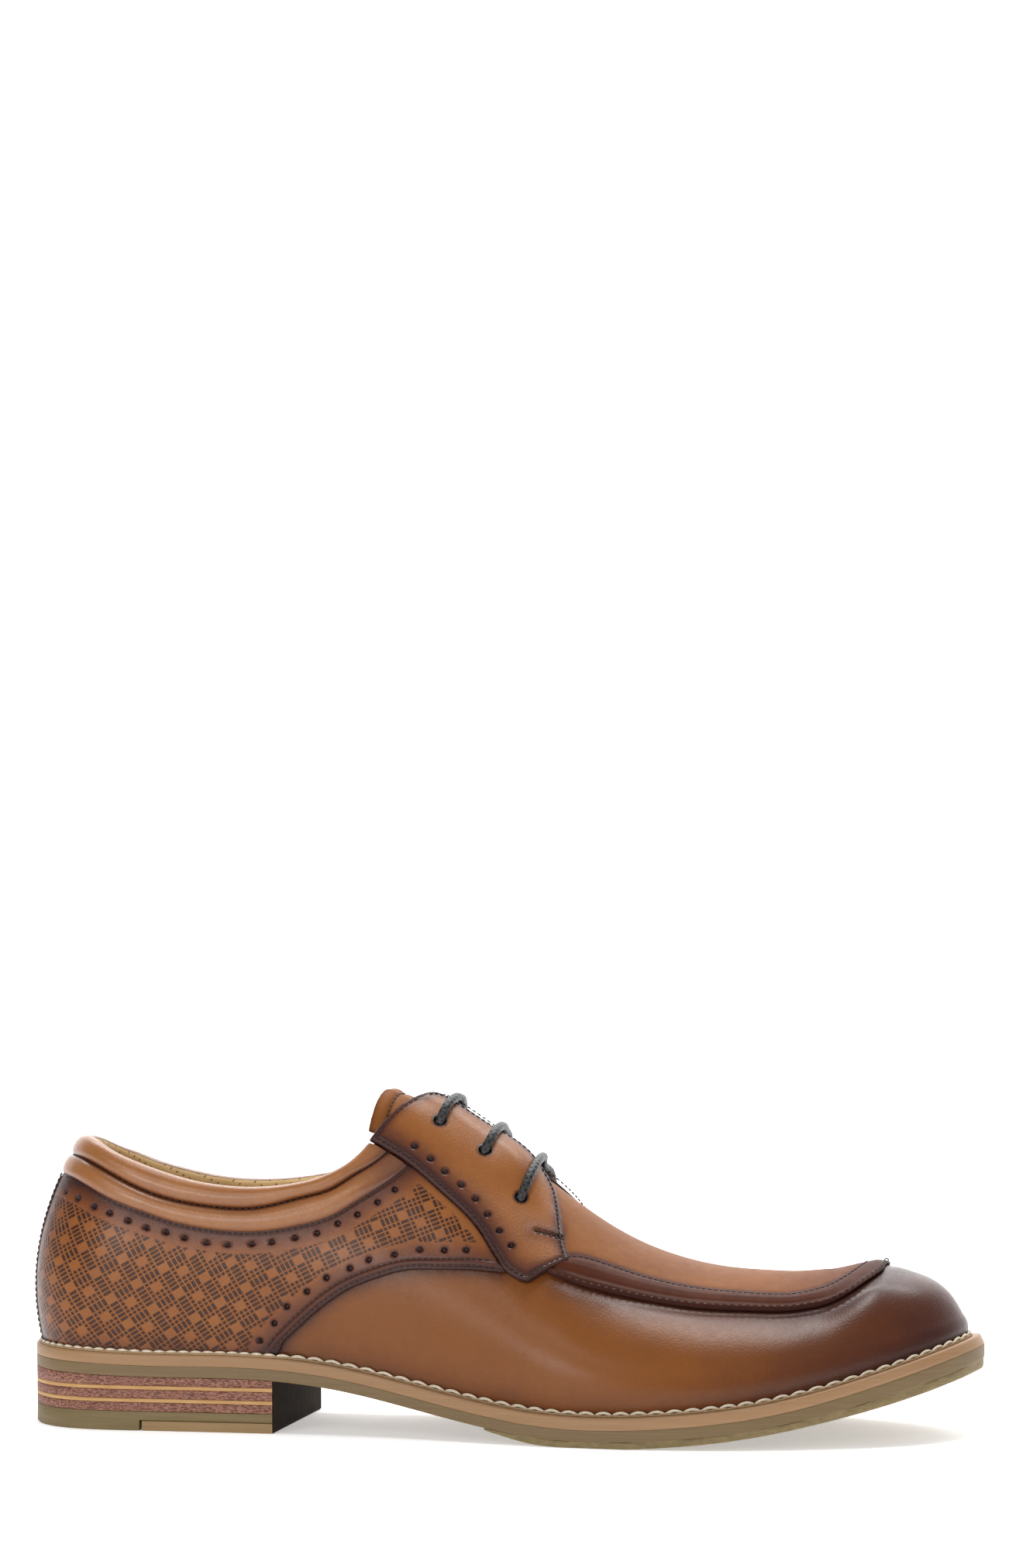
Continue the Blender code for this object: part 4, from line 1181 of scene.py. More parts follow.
class Stitching:
    """Rows of short raised stitches, made as one mesh."""

    RINGS = ((-0.36, 0.80), (0.0, 1.0), (0.36, 0.80))
    SIDES = 6

    def __init__(self, name: str) -> None:
        """Start with no rows."""
        self.name = name
        self.points: list[Array] = []

    def row(self, line: Line, height: float | Array, pitch: float = 1.95 * MM, length: float = 1.45 * MM,
            radius: float = 0.27 * MM) -> None:
        """Add a row of stitches along a line.

        Args:
            line: Where the row runs.
            height: Height of the leather there, off the base layer.
            pitch: From one stitch to the next.
            length: Each stitch's length.
            radius: The thread's radius.
        """
        path, normals = line.points(height), line.normals()
        lengths = lengths_along(path)
        middles = np.arange(pitch / 2, lengths[-1], pitch)
        reads = [np.stack([np.interp(at, lengths, source[:, axis]) for axis in range(3)], -1)
                 for at, source in ((middles, path), (middles - length / 2, path),
                                    (middles + length / 2, path), (middles, normals))]
        centre, behind, ahead, normal = reads
        along = unit(ahead - behind)
        normal = unit(normal - along * (normal * along).sum(-1, keepdims=True))
        across = np.cross(normal, along)
        rings = [centre - along * length / 2 - normal * 0.5 * radius]
        for share, fat in self.RINGS:
            for side in range(self.SIDES):
                turn = 2 * math.pi * side / self.SIDES
                rings.append(centre + along * share * length + across * math.cos(turn) * radius * fat
                             + normal * (math.sin(turn) * fat + 0.25) * radius)
        rings.append(centre + along * length / 2 - normal * 0.5 * radius)
        self.points.append(np.stack(rings, axis=1))

    def build(self, finishes: Finishes) -> None:
        """Make the mesh of all rows, and let it ride on the shoe."""
        stitches = np.concatenate(self.points)
        sides, rings = self.SIDES, len(self.RINGS)
        pattern = [[0, 1 + (side + 1) % sides, 1 + side] for side in range(sides)]
        pattern += [[1 + corner for corner in face] for face in ring_faces(rings, sides)]
        top, end = 1 + (rings - 1) * sides, 1 + rings * sides
        pattern += [[end, top + side, top + (side + 1) % sides] for side in range(sides)]
        each = stitches.shape[1]
        faces = [[number * each + corner for corner in face]
                 for number in range(len(stitches)) for face in pattern]
        piece = new_piece(self.name, stitches.reshape(-1, 3), faces, finishes.thread, weld=False)
        dress(piece, "burnished_leather")


def make_tube(name: str, path: Array, radius: float | Array, material: bpy.types.Material,
              sides: int = 10, closed: bool = False) -> bpy.types.Object:
    """A round cord along a path, with its turn and length stored for the shader.

    Args:
        name: The piece's name.
        path: The points of its middle line.
        radius: Its radius, or one for each point.
        material: The finish.
        sides: How many sides it has.
        closed: Whether its ends meet.
    """
    count = len(path)
    if closed:
        along = unit(np.roll(path, -1, axis=0) - np.roll(path, 1, axis=0))
    else:
        along = unit(np.gradient(path, axis=0))
    frames = np.empty_like(path)
    start = np.cross(along[0], (0.0, 0.0, 1.0))
    frames[0] = unit(start if np.linalg.norm(start) > 1e-3 else np.cross(along[0], (0.0, 1.0, 0.0)))
    for number in range(1, count):
        kept = frames[number - 1] - along[number] * (frames[number - 1] @ along[number])
        frames[number] = unit(kept)
    beside = np.cross(along, frames)
    turn = 2 * math.pi * np.arange(sides) / sides
    spoke = frames[:, None] * np.cos(turn)[None, :, None] + beside[:, None] * np.sin(turn)[None, :, None]
    points = path[:, None] + spoke * np.broadcast_to(np.asarray(radius, float), (count,))[:, None, None]
    lengths = lengths_along(path) / MM
    shades = {"along_mm": np.repeat(lengths, sides), "turn_sin": np.tile(np.sin(turn), count),
              "turn_cos": np.tile(np.cos(turn), count)}
    faces = ring_faces(count, sides, closed)
    if not closed:
        faces += [list(range(sides))[::-1], [(count - 1) * sides + side for side in range(sides)]]
    return new_piece(name, points.reshape(-1, 3), faces, material, shades)


@dataclass
class UpperWall:
    """The hollow base layer: vamp and quarters in one wall, open at collar and throat."""

    columns: int = 420
    rows: int = 60
    collar_drop: float = 0.035
    toe_burnish: tuple[float, float] = (46 * MM, 156 * MM)
    # Creases across the vamp: x, depth, width in millimetres.
    creases: tuple = ((12, 0.20, 5.0), (24, -0.16, 4.5), (37, 0.14, 5.0), (52, -0.12, 6.0))

    def build(self, finishes: Finishes) -> None:
        """Make the wall with its burnish, the painted shadow beside the quarters' arcs and its faint walking
        creases.
        """
        half = np.linspace(0, 1, self.columns // 2 + 1)
        wraps = np.concatenate([half, 2 - half[-2:0:-1]])
        side = np.minimum(wraps, 2 - wraps)
        top = LAST.topline_rise(wraps) - self.collar_drop * (1 - smooth_step(side, 0.395, 0.425))
        rises = climb(climb_share(top)[:, None] * np.linspace(0, 1, self.rows)[None])
        panel = Panel(places_at(wraps[:, None], rises))
        x = panel.base[..., 0]
        for place, depth, width in self.creases:
            bend = (x / MM - place) - 0.10 * panel.base[..., 2] / MM
            panel.height -= depth * MM * bell(bend, width) * smooth_step(rises, 0.25, 0.55)
        for edge_side in Side:
            arc = panel.away(Line.through(QUARTER_ARC, edge_side))
            seam = panel.away(Line.through(APRON_EDGE, edge_side, start=0.42))
            # Beside each quarter's arc: painted shadow, a darker band and a dark line. Beside the apron's
            # edge: a darker band and a dark line at the seam.
            panel.burnish += 0.40 * bell(arc, 3.2) + 0.60 * bell(seam, 6.5)
            panel.ink = np.maximum(panel.ink, 0.8 * bell(arc, 0.9) + 0.8 * bell(seam, 0.8))
            panel.height += -0.25 * MM * bell(seam - 1.6, 1.4)
        low = panel.over_sole()
        # Darker towards the toe, which is burnish, and darker towards the welt.
        panel.burnish += 0.92 * smooth_step(x, *self.toe_burnish) + 0.22 * bell(low, 7)
        panel.ink = np.maximum(panel.ink, 0.45 * bell(low, 0.9))
        cells = np.ones((len(wraps), self.rows - 1), bool)
        middles = (panel.base + np.roll(panel.base, -1, axis=0))[:, :-1] / 2
        for wrap, rise in EYELETS:
            for across in (wrap, 2 - wrap):
                cells &= np.linalg.norm(middles - LAST.skin(across, rise), axis=-1) > 2.6 * MM
        panel.keep = cells
        dress(panel.build("upper_wall", finishes.vamp, -UPPER_WALL, closed=True), "tan_leather", "upper")


@dataclass
class Lining:
    """The pinholed lining inside, from under the collar's roll down to the insole."""

    columns: int = 260
    rows: int = 34
    reach: float = 0.58
    drop: float = 0.030
    thickness: float = 0.6 * MM
    seam_wrap: float = 1.80

    def build(self, finishes: Finishes) -> None:
        """Make the lining with its side seam."""
        wraps = np.linspace(-self.reach, self.reach, self.columns)
        side = np.abs(wraps)
        top = LAST.topline_rise(side) - self.drop * (1 - smooth_step(side, 0.395, 0.425))
        rises = climb(climb_share(top)[:, None] * np.linspace(0.02, 1, self.rows)[None])
        panel = Panel(places_at(wraps[:, None], rises))
        panel.chart()
        seam = np.abs(np.mod(panel.places[..., 0], 2) - self.seam_wrap) * 300
        panel.height = -UPPER_WALL - 0.10 * MM - 0.25 * MM * (1 - bell(seam, 0.9))
        # Painted shade: the lining gets darker towards the bottom, deep inside the shoe.
        panel.burnish = 0.8 * (1 - smooth_step(rises, 0.2, 0.5))
        top = panel.base + panel.normal * panel.height[..., None]
        bottom = panel.base + panel.normal * (-UPPER_WALL - 0.10 * MM - self.thickness)
        shades = {"burnish": panel.burnish, "ink": 0.5 * bell(seam - 1.1, 0.35), **panel.shades}
        dress(make_slab("collar_lining", top, bottom, finishes.lining, shades), "insole_lining")


@dataclass
class Quarter:
    """A plaid pressed outer quarter, from the back strap to the facing."""

    side: Side
    columns: int = 300
    rows: int = 104
    lattice_from_top: float = 7.4
    lattice_from_arc: float = 8.4

    def places(self) -> Array:
        """Wrap and rise over the quarter."""
        top = [(0.056, 0.592)] + list(QUARTER_TOP[2:-1]) + [(0.4475, 0.757)]
        top += [(wrap - 0.0012, rise - 0.001) for wrap, rise in FACING_REAR[3:9]]
        foot = [(0.049, 0.004), (0.110, 0.004), (0.180, 0.004), (0.250, 0.004)]
        bottom = foot + list(QUARTER_ARC[:-1]) + [(0.5600, 0.5600)]
        shares = np.linspace(0, 1, self.columns)
        grid = ruled(Edge(bottom), Edge(top), shares**1.12, np.linspace(0, 1, self.rows))
        strap = Edge(STRAP_EDGE)
        rises = strap(np.linspace(0, 1, 80))
        wanted = np.interp(grid[0, :, 1], rises[:, 1], rises[:, 0]) - 0.0015
        grid[..., 0] += (wanted - grid[0, :, 0])[None] * (1 - smooth_step(shares, 0, 0.12))[:, None]
        return mirrored(grid, self.side)

    def build(self, finishes: Finishes) -> None:
        """Make the quarter, its punched holes and its stitches."""
        panel = Panel(self.places())
        panel.chart()
        top, arc = Line.through(QUARTER_TOP, self.side), Line.through(QUARTER_ARC, self.side)
        strap = Line.through(STRAP_EDGE, self.side)
        rear = Line.through(FACING_REAR, self.side)
        to_top, to_arc, to_strap, to_rear = (panel.away(line) for line in (top, arc, strap, rear))
        low = panel.over_sole()
        panel.height += QUARTER_TOP_HEIGHT * rounded(np.minimum(to_top, to_arc), 0.7)
        panel.height += 0.28 * MM * bell(to_arc - 2.2, 0.75) - 0.16 * MM * (bell(to_arc - 1.1, 0.4)
                                                                          + bell(to_arc - 3.3, 0.4))
        panel.height -= 0.16 * MM * bell(to_top - 1.3, 0.4)
        panel.burnish += 0.85 * bell(to_top, 6.0) + 0.85 * bell(to_arc, 6.5) + 0.55 * bell(to_strap, 9)
        panel.burnish += 0.30 * bell(low, 5) + 0.10
        panel.ink = np.maximum.reduce([0.95 * bell(to_top, 0.55), 0.95 * bell(to_arc, 0.75),
                                       0.55 * bell(to_strap, 0.8), 0.7 * bell(to_rear, 0.6),
                                       0.30 * bell(to_arc - 1.1, 0.5), 0.30 * bell(to_arc - 3.3, 0.5),
                                       0.30 * bell(to_top - 1.3, 0.5)])
        panel.punch(QUARTER_TOP_HOLES, self.side)
        panel.punch(QUARTER_ARC_HOLES, self.side)
        inside = smooth_step(to_top, self.lattice_from_top, self.lattice_from_top + 0.5)
        inside = inside * smooth_step(to_arc, self.lattice_from_arc, self.lattice_from_arc + 0.5)
        inside = inside * smooth_step(to_rear, 2.2, 3.0) * smooth_step(low, 0.8, 1.6)
        panel.shades["lattice"] = inside
        name = f"quarter_{self.side.value}"
        dress(panel.build(f"{name}_panel", finishes.quarter, OVERLAY_CLEARANCE), "embossed_leather", name)
        stitches = Stitching(f"{name}_stitching")
        height = QUARTER_TOP_HEIGHT - 0.05 * MM
        stitches.row(top.moved(-1.3 * MM).part(*self.side.span(0.10, 0.975)), height)
        stitches.row(arc.moved(1.1 * MM).part(*self.side.span(0.01, 0.985)), height)
        stitches.row(arc.moved(3.3 * MM).part(*self.side.span(0.01, 0.965)), height)
        stitches.build(finishes)


@dataclass
class Facing:
    """An eyestay with its tab: dark stitched edges, a row of holes and three open eyelets."""

    side: Side
    columns: int = 150
    rows: int = 118
    eyelet_radius: float = 1.95 * MM
    # How much thinner the inner facing is towards the throat, and where.
    thinning: float = 0.35
    thinning_rises: tuple[float, float] = (0.90, 0.96)

    def build(self, finishes: Finishes) -> None:
        """Make the facing and its stitches."""
        shares, across = np.linspace(0, 1, self.columns), np.linspace(0, 1, self.rows)
        grid = ruled(Edge(FACING_REAR), Edge(FACING_FRONT), shares, across)
        panel = Panel(mirrored(grid, self.side))
        rear, front = Line.through(FACING_REAR, self.side), Line.through(FACING_FRONT, self.side)
        to_rear, to_front, to_edge = panel.away(rear), panel.away(front), panel.border()
        slot_line = Line.through(TAB_SLOT, self.side)
        to_slot = panel.away(slot_line)
        panel.height += FACING_TOP_HEIGHT * rounded(to_edge, 0.8)
        if self.side is Side.MEDIAL:
            panel.height *= 1 - self.thinning * smooth_step(panel.places[..., 1], *self.thinning_rises)
        tent = LAST.tent(panel.places[..., 0], panel.places[..., 1])
        panel.height += tent
        panel.height -= 0.16 * MM * bell(to_edge - 1.5, 0.45)
        panel.height += 0.08 * MM * bell(to_slot - 1.6, 1.3) - 0.9 * MM * bell(to_slot, 0.45)
        panel.burnish += 0.80 * bell(to_rear, 6.0) + 0.60 * bell(to_front, 2.6) + 0.70 * bell(to_edge, 2.6)
        panel.burnish += 0.35 * bell(to_slot, 4) + 0.06
        panel.ink = np.maximum.reduce([0.95 * bell(to_edge, 0.60), 0.85 * bell(to_slot, 0.55),
                                       0.35 * bell(to_edge - 1.5, 0.5)])
        panel.punch(FACING_HOLES, self.side)
        panel.open_holes(EYELETS, self.side, self.eyelet_radius)
        name = f"facing_{self.side.value}"
        dress(panel.build(f"{name}_panel", finishes.facing, OVERLAY_CLEARANCE + tent), "tan_leather", name)
        stitches = Stitching(f"{name}_stitching")
        height = FACING_TOP_HEIGHT - 0.05 * MM
        for line, inwards, start, end in ((rear, 1.5, 0.02, 0.985), (front, -1.5, 0.03, 0.985),
                                          (Line(panel.places[0]), -1.5, 0.06, 0.93),
                                          (Line(panel.places[-1]), 1.5, 0.05, 0.95)):
            row = line.moved(inwards * MM).part(*self.side.span(start, end))
            stitches.row(row, height + LAST.tent(row.places[:, 0], row.places[:, 1]))
        for aside in (-0.85, 0.85):
            stitches.row(slot_line.moved(aside * MM), height + 0.1 * MM)
        stitches.build(finishes)


@dataclass
class BackStrap:
    """The dark strip over the seam at the heel back."""

    rows: int = 110
    columns: int = 31
    height: float = 2.0 * MM

    def build(self, finishes: Finishes) -> None:
        """Make the strip and its two rows of stitches."""
        edge = Edge([(wrap - 0.002, rise) for wrap, rise in STRAP_EDGE])(np.linspace(0, 1, self.rows))
        across = np.linspace(-1, 1, self.columns)
        panel = Panel(places_at(across[:, None] * edge[:, 0], edge[:, 1]))
        to_edge = panel.border()
        panel.height += self.height * rounded(to_edge, 0.7) - 0.15 * MM * bell(to_edge - 1.4, 0.4)
        panel.burnish += 0.25 + 0.5 * bell(to_edge, 3)
        panel.ink = 0.95 * bell(to_edge, 0.55)
        piece = panel.build("back_strap_panel", finishes.strap, OVERLAY_CLEARANCE)
        dress(piece, "burnished_leather", "back_strap")
        stitches = Stitching("back_strap_stitching")
        for inwards, column in ((1.4, -1), (-1.4, 0)):
            stitches.row(Line(panel.places[column]).moved(inwards * MM), self.height - 0.05 * MM)
        stitches.build(finishes)


@dataclass
class Collar:
    """Two padded rolls round the ankle. The upper one turns over the edge to the lining."""

    columns: int = 300
    roll_rows: int = 14
    arc_rows: int = 16
    low_height: float = 0.8 * MM
    padding: float = 2.7 * MM
    inside_height: float = -2.9 * MM
    inside_reach: float = 1.3
    thickness: float = 0.7 * MM
    lining_from: float = 1.90

    def line(self, table: Sequence) -> Array:
        """Places of a line from the medial facing round the heel to the lateral facing."""
        lateral = Edge(table)(np.linspace(0, 1, self.columns // 2))
        medial = lateral[:0:-1].copy()
        medial[..., 0] = -medial[..., 0]
        return np.concatenate([medial, lateral])

    def build(self, finishes: Finishes) -> None:
        """Make the rolls, the lining's turned edge and the stitches between the rolls."""
        self.lower = Line(self.line(list(QUARTER_TOP[:-1]) + [(0.4465, 0.757)])).moved(-0.9 * MM).places
        self.seam = self.line(list(ROLL_SEAM[:-1]) + [(0.4235, 0.775)])
        self.upper = self.line(list(TOPLINE[:12]) + [(0.4000, 0.788)])
        side = np.abs(self.seam[:, 0])
        front = 1 - 0.50 * smooth_step(side, 0.375, 0.425)
        self.taper = (0.55 + 0.45 * smooth_step(side, 0.05, 0.14)) * front
        half_turn, top = math.pi / 2, self.low_height + self.padding * self.taper
        rows = []
        # Each roll is painted darker towards its seams and lighter over its crown: painted shade.
        for step in np.linspace(0, 1, self.roll_rows):
            places = self.lower + (self.seam - self.lower) * step
            rows.append((places, *self.swell(2 * step - 1), 0.6 * float(bell(1 - step, 0.05))))
        for step in np.linspace(0, 1, self.roll_rows)[1:]:
            places = self.seam + (self.upper - self.seam) * step / 2
            rows.append((places, *self.swell(step - 1), 0.6 * float(bell(step, 0.09))))
        # Over the turned edge the inner half is darker: painted shade inside the shoe.
        for turn in np.linspace(0, self.lining_from, self.arc_rows)[1:]:
            rows.append((*self.turned(turn, top), 0.10 + 0.25 * float(turn > half_turn),
                         0.6 * float(turn == self.lining_from)))
        dress(self.make_sheet("collar_rolls", rows, finishes.collar), "collar_leather", "collar")
        rows = [(*self.turned(turn, top, 0.12 * MM), 0.0, 0.45 * float(turn == self.lining_from - 0.12))
                for turn in np.linspace(self.lining_from - 0.12, math.pi, 10)]
        for step in np.linspace(0, self.inside_reach, 6)[1:]:
            places = self.seam + (self.upper - self.seam) * (0.5 - step)
            rows.append((places, np.full(len(side), self.inside_height + 0.12 * MM), 0.0, 0.0))
        dress(self.make_sheet("collar_lining_edge", rows, finishes.lining), "insole_lining")
        stitches = Stitching("collar_stitching")
        stitches.row(Line(self.seam), self.low_height + 0.12 * MM, pitch=2.1 * MM, length=1.35 * MM)
        stitches.build(finishes)

    def swell(self, across: float) -> tuple[Array, float]:
        """Heights and painted shade over a roll, darker towards its seams, from 0 in its middle to -1 and 1
        at its seams.
        """
        swell = max(1 - abs(across) ** 2.4, 0) ** 0.60
        return self.low_height + self.padding * swell * self.taper, 0.10 + 0.55 * (1 - swell)

    def turned(self, turn: float, top: Array, below: float = 0.0) -> tuple[Array, Array]:
        """Places and heights on the upper roll's round, where turn runs from outside to inside.

        Args:
            turn: The angle over the round, from 0 outside to pi inside.
            top: The roll's height where the round starts.
            below: How far under the roll's surface the row lies.
        """
        middle, radius = (top + self.inside_height) / 2, (top - self.inside_height) / 2 - below
        share = 0.5 + (0.5 - below / (7 * MM)) * math.sin(turn)
        return self.seam + (self.upper - self.seam) * share, middle + radius * math.cos(turn)

    def make_sheet(self, name: str, rows: list, material: bpy.types.Material) -> bpy.types.Object:
        """A closed sheet from rows of places, heights, burnish and painted shade, and ink."""
        wrap = np.stack([row[0][:, 0] for row in rows], 1)
        rise = np.stack([row[0][:, 1] for row in rows], 1)
        top = LAST.skin(wrap, rise, np.stack([row[1] for row in rows], 1))
        outwards = unit(np.cross(np.gradient(top, axis=0), np.gradient(top, axis=1)))
        panel = Panel(places_at(wrap, rise))
        panel.chart()
        # Darker towards the rolls' front ends.
        ends = 0.45 * bell((0.440 - np.abs(wrap)) * 300, 9)
        shape = wrap.shape
        shades = {"burnish": np.clip(np.broadcast_to([row[2] for row in rows], shape) + ends, 0, 1),
                  "ink": np.broadcast_to([row[3] for row in rows], shape), **panel.shades}
        return make_slab(name, top, top - outwards * self.thickness, material, shades, sharp=70)


@dataclass
class Apron:
    """The plug of the moc toe, with its edge gathered into a raised seam."""

    columns: int = 270
    band_rows: int = 22
    plug_rows: int = 30
    plug_height: float = 1.1 * MM
    # Height over the band, by share of the way from the cut edge to the stitch line.
    band: tuple = ((0.00, 0.9), (0.06, 1.7), (0.16, 2.05), (0.25, 1.75), (0.31, 1.55), (0.38, 1.95),
                   (0.58, 2.45), (0.78, 2.20), (0.92, 1.45), (1.00, 1.05))

    def build(self, finishes: Finishes) -> None:
        """Make the plug, its raised seam and its stitches."""
        tables = np.array(APRON_EDGE), np.array(APRON_STITCH)
        steps = sum(np.linalg.norm(np.diff(table, axis=0), axis=1) for table in tables)
        knots = np.concatenate([[0], np.cumsum(steps)]) / steps.sum()
        edge, stitch = (Spline(knots, table)(np.linspace(0, 1, self.columns)) for table in tables)
        stitch[:, 1] = np.minimum(stitch[:, 1], 0.9985)
        band = np.linspace(0, 1, self.band_rows)
        places = [edge + (stitch - edge) * share for share in band]
        climbs = climb_share(stitch[:, 1])
        for share in np.linspace(0, 1, self.plug_rows)[1:] ** 0.8:
            places.append(np.stack([stitch[:, 0], climb(climbs + (1 - climbs) * share)], -1))
        panel = Panel(both_sides(np.stack(places, axis=1)))
        rows = panel.height.shape[1]
        height = np.full(len(places), self.plug_height)
        height[:self.band_rows] = np.interp(band, [b[0] for b in self.band], [b[1] * MM for b in self.band])
        height = np.concatenate([height, height[-2::-1]])[None]
        lines = [Line(panel.places[:, row]) for row in (self.band_rows - 1, rows - self.band_rows)]
        edges = [Line(panel.places[:, 0]), Line(panel.places[:, -1])]
        to_stitch = np.minimum(*(panel.away(line) for line in lines))
        to_edge = np.minimum(*(panel.away(line) for line in edges))
        index = np.arange(rows)
        in_band = ((index < self.band_rows) | (index >= rows - self.band_rows))[None]
        seen = smooth_step(stitch[:, 0], 0.618, 0.626)[:, None]
        plug_rise = self.plug_height - 0.30 * MM * bell(to_stitch, 0.7) * seen
        x = panel.base[..., 0]
        raised = seen * (1 - 0.80 * smooth_step(x, 100 * MM, 117 * MM))
        panel.height = np.where(in_band, self.plug_height + (height - self.plug_height) * raised, plug_rise)
        panel.burnish = (np.where(in_band, 0.72, 0.0) + 0.50 * bell(to_stitch, 1.6) * ~in_band) * seen
        panel.burnish += 0.30 * smooth_step(x, 85 * MM, 118 * MM) * ~in_band + 0.06
        panel.burnish += 0.45 * bell(to_edge, 3) * (1 - seen)
        panel.ink = np.maximum(0.95 * bell(to_edge, 0.75), 0.55 * bell(to_stitch, 0.5))
        panel.ink = np.maximum(panel.ink, 0.7 * in_band * bell(to_edge - 1.7, 0.35)) * seen
        dress(panel.build("apron_plug", finishes.apron, OVERLAY_CLEARANCE), "apron_leather", "apron")
        stitches = Stitching("apron_stitching")
        for line in lines:
            stitches.row(line.part(0.30, 1), 1.1 * MM, pitch=1.9 * MM, length=1.4 * MM, radius=0.30 * MM)
        for line, inwards in zip(edges, (0.7, -0.7)):
            stitches.row(line.part(0.34, 1).moved(inwards * MM), 1.75 * MM, pitch=2.4 * MM, length=1.3 * MM)
        stitches.build(finishes)


@dataclass
class Tongue:
    """The padded tongue, under the facings from above the top eyelets to below the vamp."""

    columns: int = 130
    rows: int = 36
    thickness: float = 2.4 * MM
    depth: float = 3.4 * MM
    laced_depth: float = 5.3 * MM
    stitch_from_end: float = 5.0 * MM

    def build(self, finishes: Finishes) -> None:
        """Make the tongue and the stitches across its end."""
        edge = Edge(TONGUE_EDGE)(np.linspace(0, 1, self.columns))
        start = climb_share(edge[:, 1])[:, None]
        rise = climb(start + (1 - start) * np.linspace(0, 1, self.rows)[None])
        panel = Panel(both_sides(places_at(edge[:, :1], rise)))
        to_end = distance_to(panel.base, dense(panel.base[0]))
        to_edge = panel.border()
        wrap = panel.places[..., 0]
        side = np.minimum(wrap, 2 - wrap)
        sink = self.depth + (self.laced_depth - self.depth) * smooth_step(side, 0.428, 0.455)
        round_end = np.minimum(rounded(to_edge, 1.2), 1)
        top = -sink - self.thickness * (1 - round_end) * 0.5
        from_end = self.stitch_from_end / MM
        top += 0.5 * MM * bell(to_end - from_end / 2, 1.8) - 0.35 * MM * bell(to_end - from_end, 0.6)
        panel.burnish = 0.25 * bell(to_end, 1.5) + 0.10 * bell(to_edge, 1)
        ink = 0.5 * bell(to_end - from_end, 0.5)
        upper = panel.base + panel.normal * top[..., None]
        lower = panel.base + panel.normal * (-sink - self.thickness * (0.5 + 0.5 * round_end))[..., None]
        shades = {"burnish": np.clip(panel.burnish, 0, 1), "ink": ink}
        dress(make_slab("tongue_padded", upper, lower, finishes.apron, shades), "collar_leather", "tongue")
        column = int(np.argmin(np.abs(to_end[:, self.rows - 1] - from_end)))
        stitches = Stitching("tongue_stitching")
        stitches.row(Line(panel.places[column, 2:-2]), -self.depth - 0.15 * MM)
        stitches.build(finishes)


@dataclass
class Lace:
    """One waxed cord through all six eyelets, in straight bars with its runs hidden below."""

    radius: float = 1.5 * MM
    under: float = -3.45 * MM
    # The lift past which a place is over the facing, and how much lower it is on the inner side.
    outside: float = 3 * MM
    inner_drop: float = 0.7 * MM
    crest_step: float = 0.0022

    def bar(self, number: int, from_lateral: bool) -> list[tuple[float, float, float]]:
        """Wrap, rise and lift along a bar, out of one eyelet, over the throat and in."""
        wrap, rise = EYELETS[number]
        start = climb_share(np.array(rise))
        half = [(wrap, rise, self.under), (wrap, rise, -0.6 * MM), (wrap, rise, 2.4 * MM)]
        for share, lift in ((0.14, 4.55), (0.40, 4.75), (0.75, 4.15)):
            at = float(climb(start + (1 - start) * share))
            half.append((wrap + self.crest_step * share**1.5, at, lift * MM))
        top = [(wrap + self.crest_step, 1.0, 3.4 * MM)]
        other = [(2 - w, r, lift - self.inner_drop * (lift > self.outside)) for w, r, lift in reversed(half)]
        whole = half + top + other
        return whole if from_lateral else whole[::-1]

    def run(self, first: int, second: int, medial: bool, aside: float) -> list[tuple[float, float, float]]:
        """A hidden run under the facing from one eyelet to another."""
        (wrap_a, rise_a), (wrap_b, rise_b) = EYELETS[first], EYELETS[second]
        places = []
        for share in (0.22, 0.5, 0.78):
            wrap = wrap_a + (wrap_b - wrap_a) * share
            rise = rise_a + (rise_b - rise_a) * share + aside
            places.append((2 - wrap if medial else wrap, rise, self.under - 0.05 * MM))
        return places

    def build(self, finishes: Finishes) -> None:
        """Make the lace."""
        route = self.run(0, 2, True, -0.035)
        route += self.bar(2, False) + self.run(2, 1, False, 0.0) + self.bar(1, True)
        route += self.run(1, 0, True, 0.022) + self.bar(0, False)
        wrap, rise, lift = (np.array(column) for column in zip(*route))
        points = LAST.skin(wrap, rise, lift + LAST.tent(wrap, rise) * (lift > self.outside))
        lengths = lengths_along(points, 0.75)
        curve = Spline(lengths, points)
        path = dense(curve(np.linspace(0, lengths[-1], 2400)), 0.55 * MM)
        piece = make_tube("waxed_lace_through_eyelets", path, self.radius, finishes.lace, sides=14)
        dress(piece, "waxed_lace", "lace_bar_top", "lace_bar_middle", "lace_bar_lower")


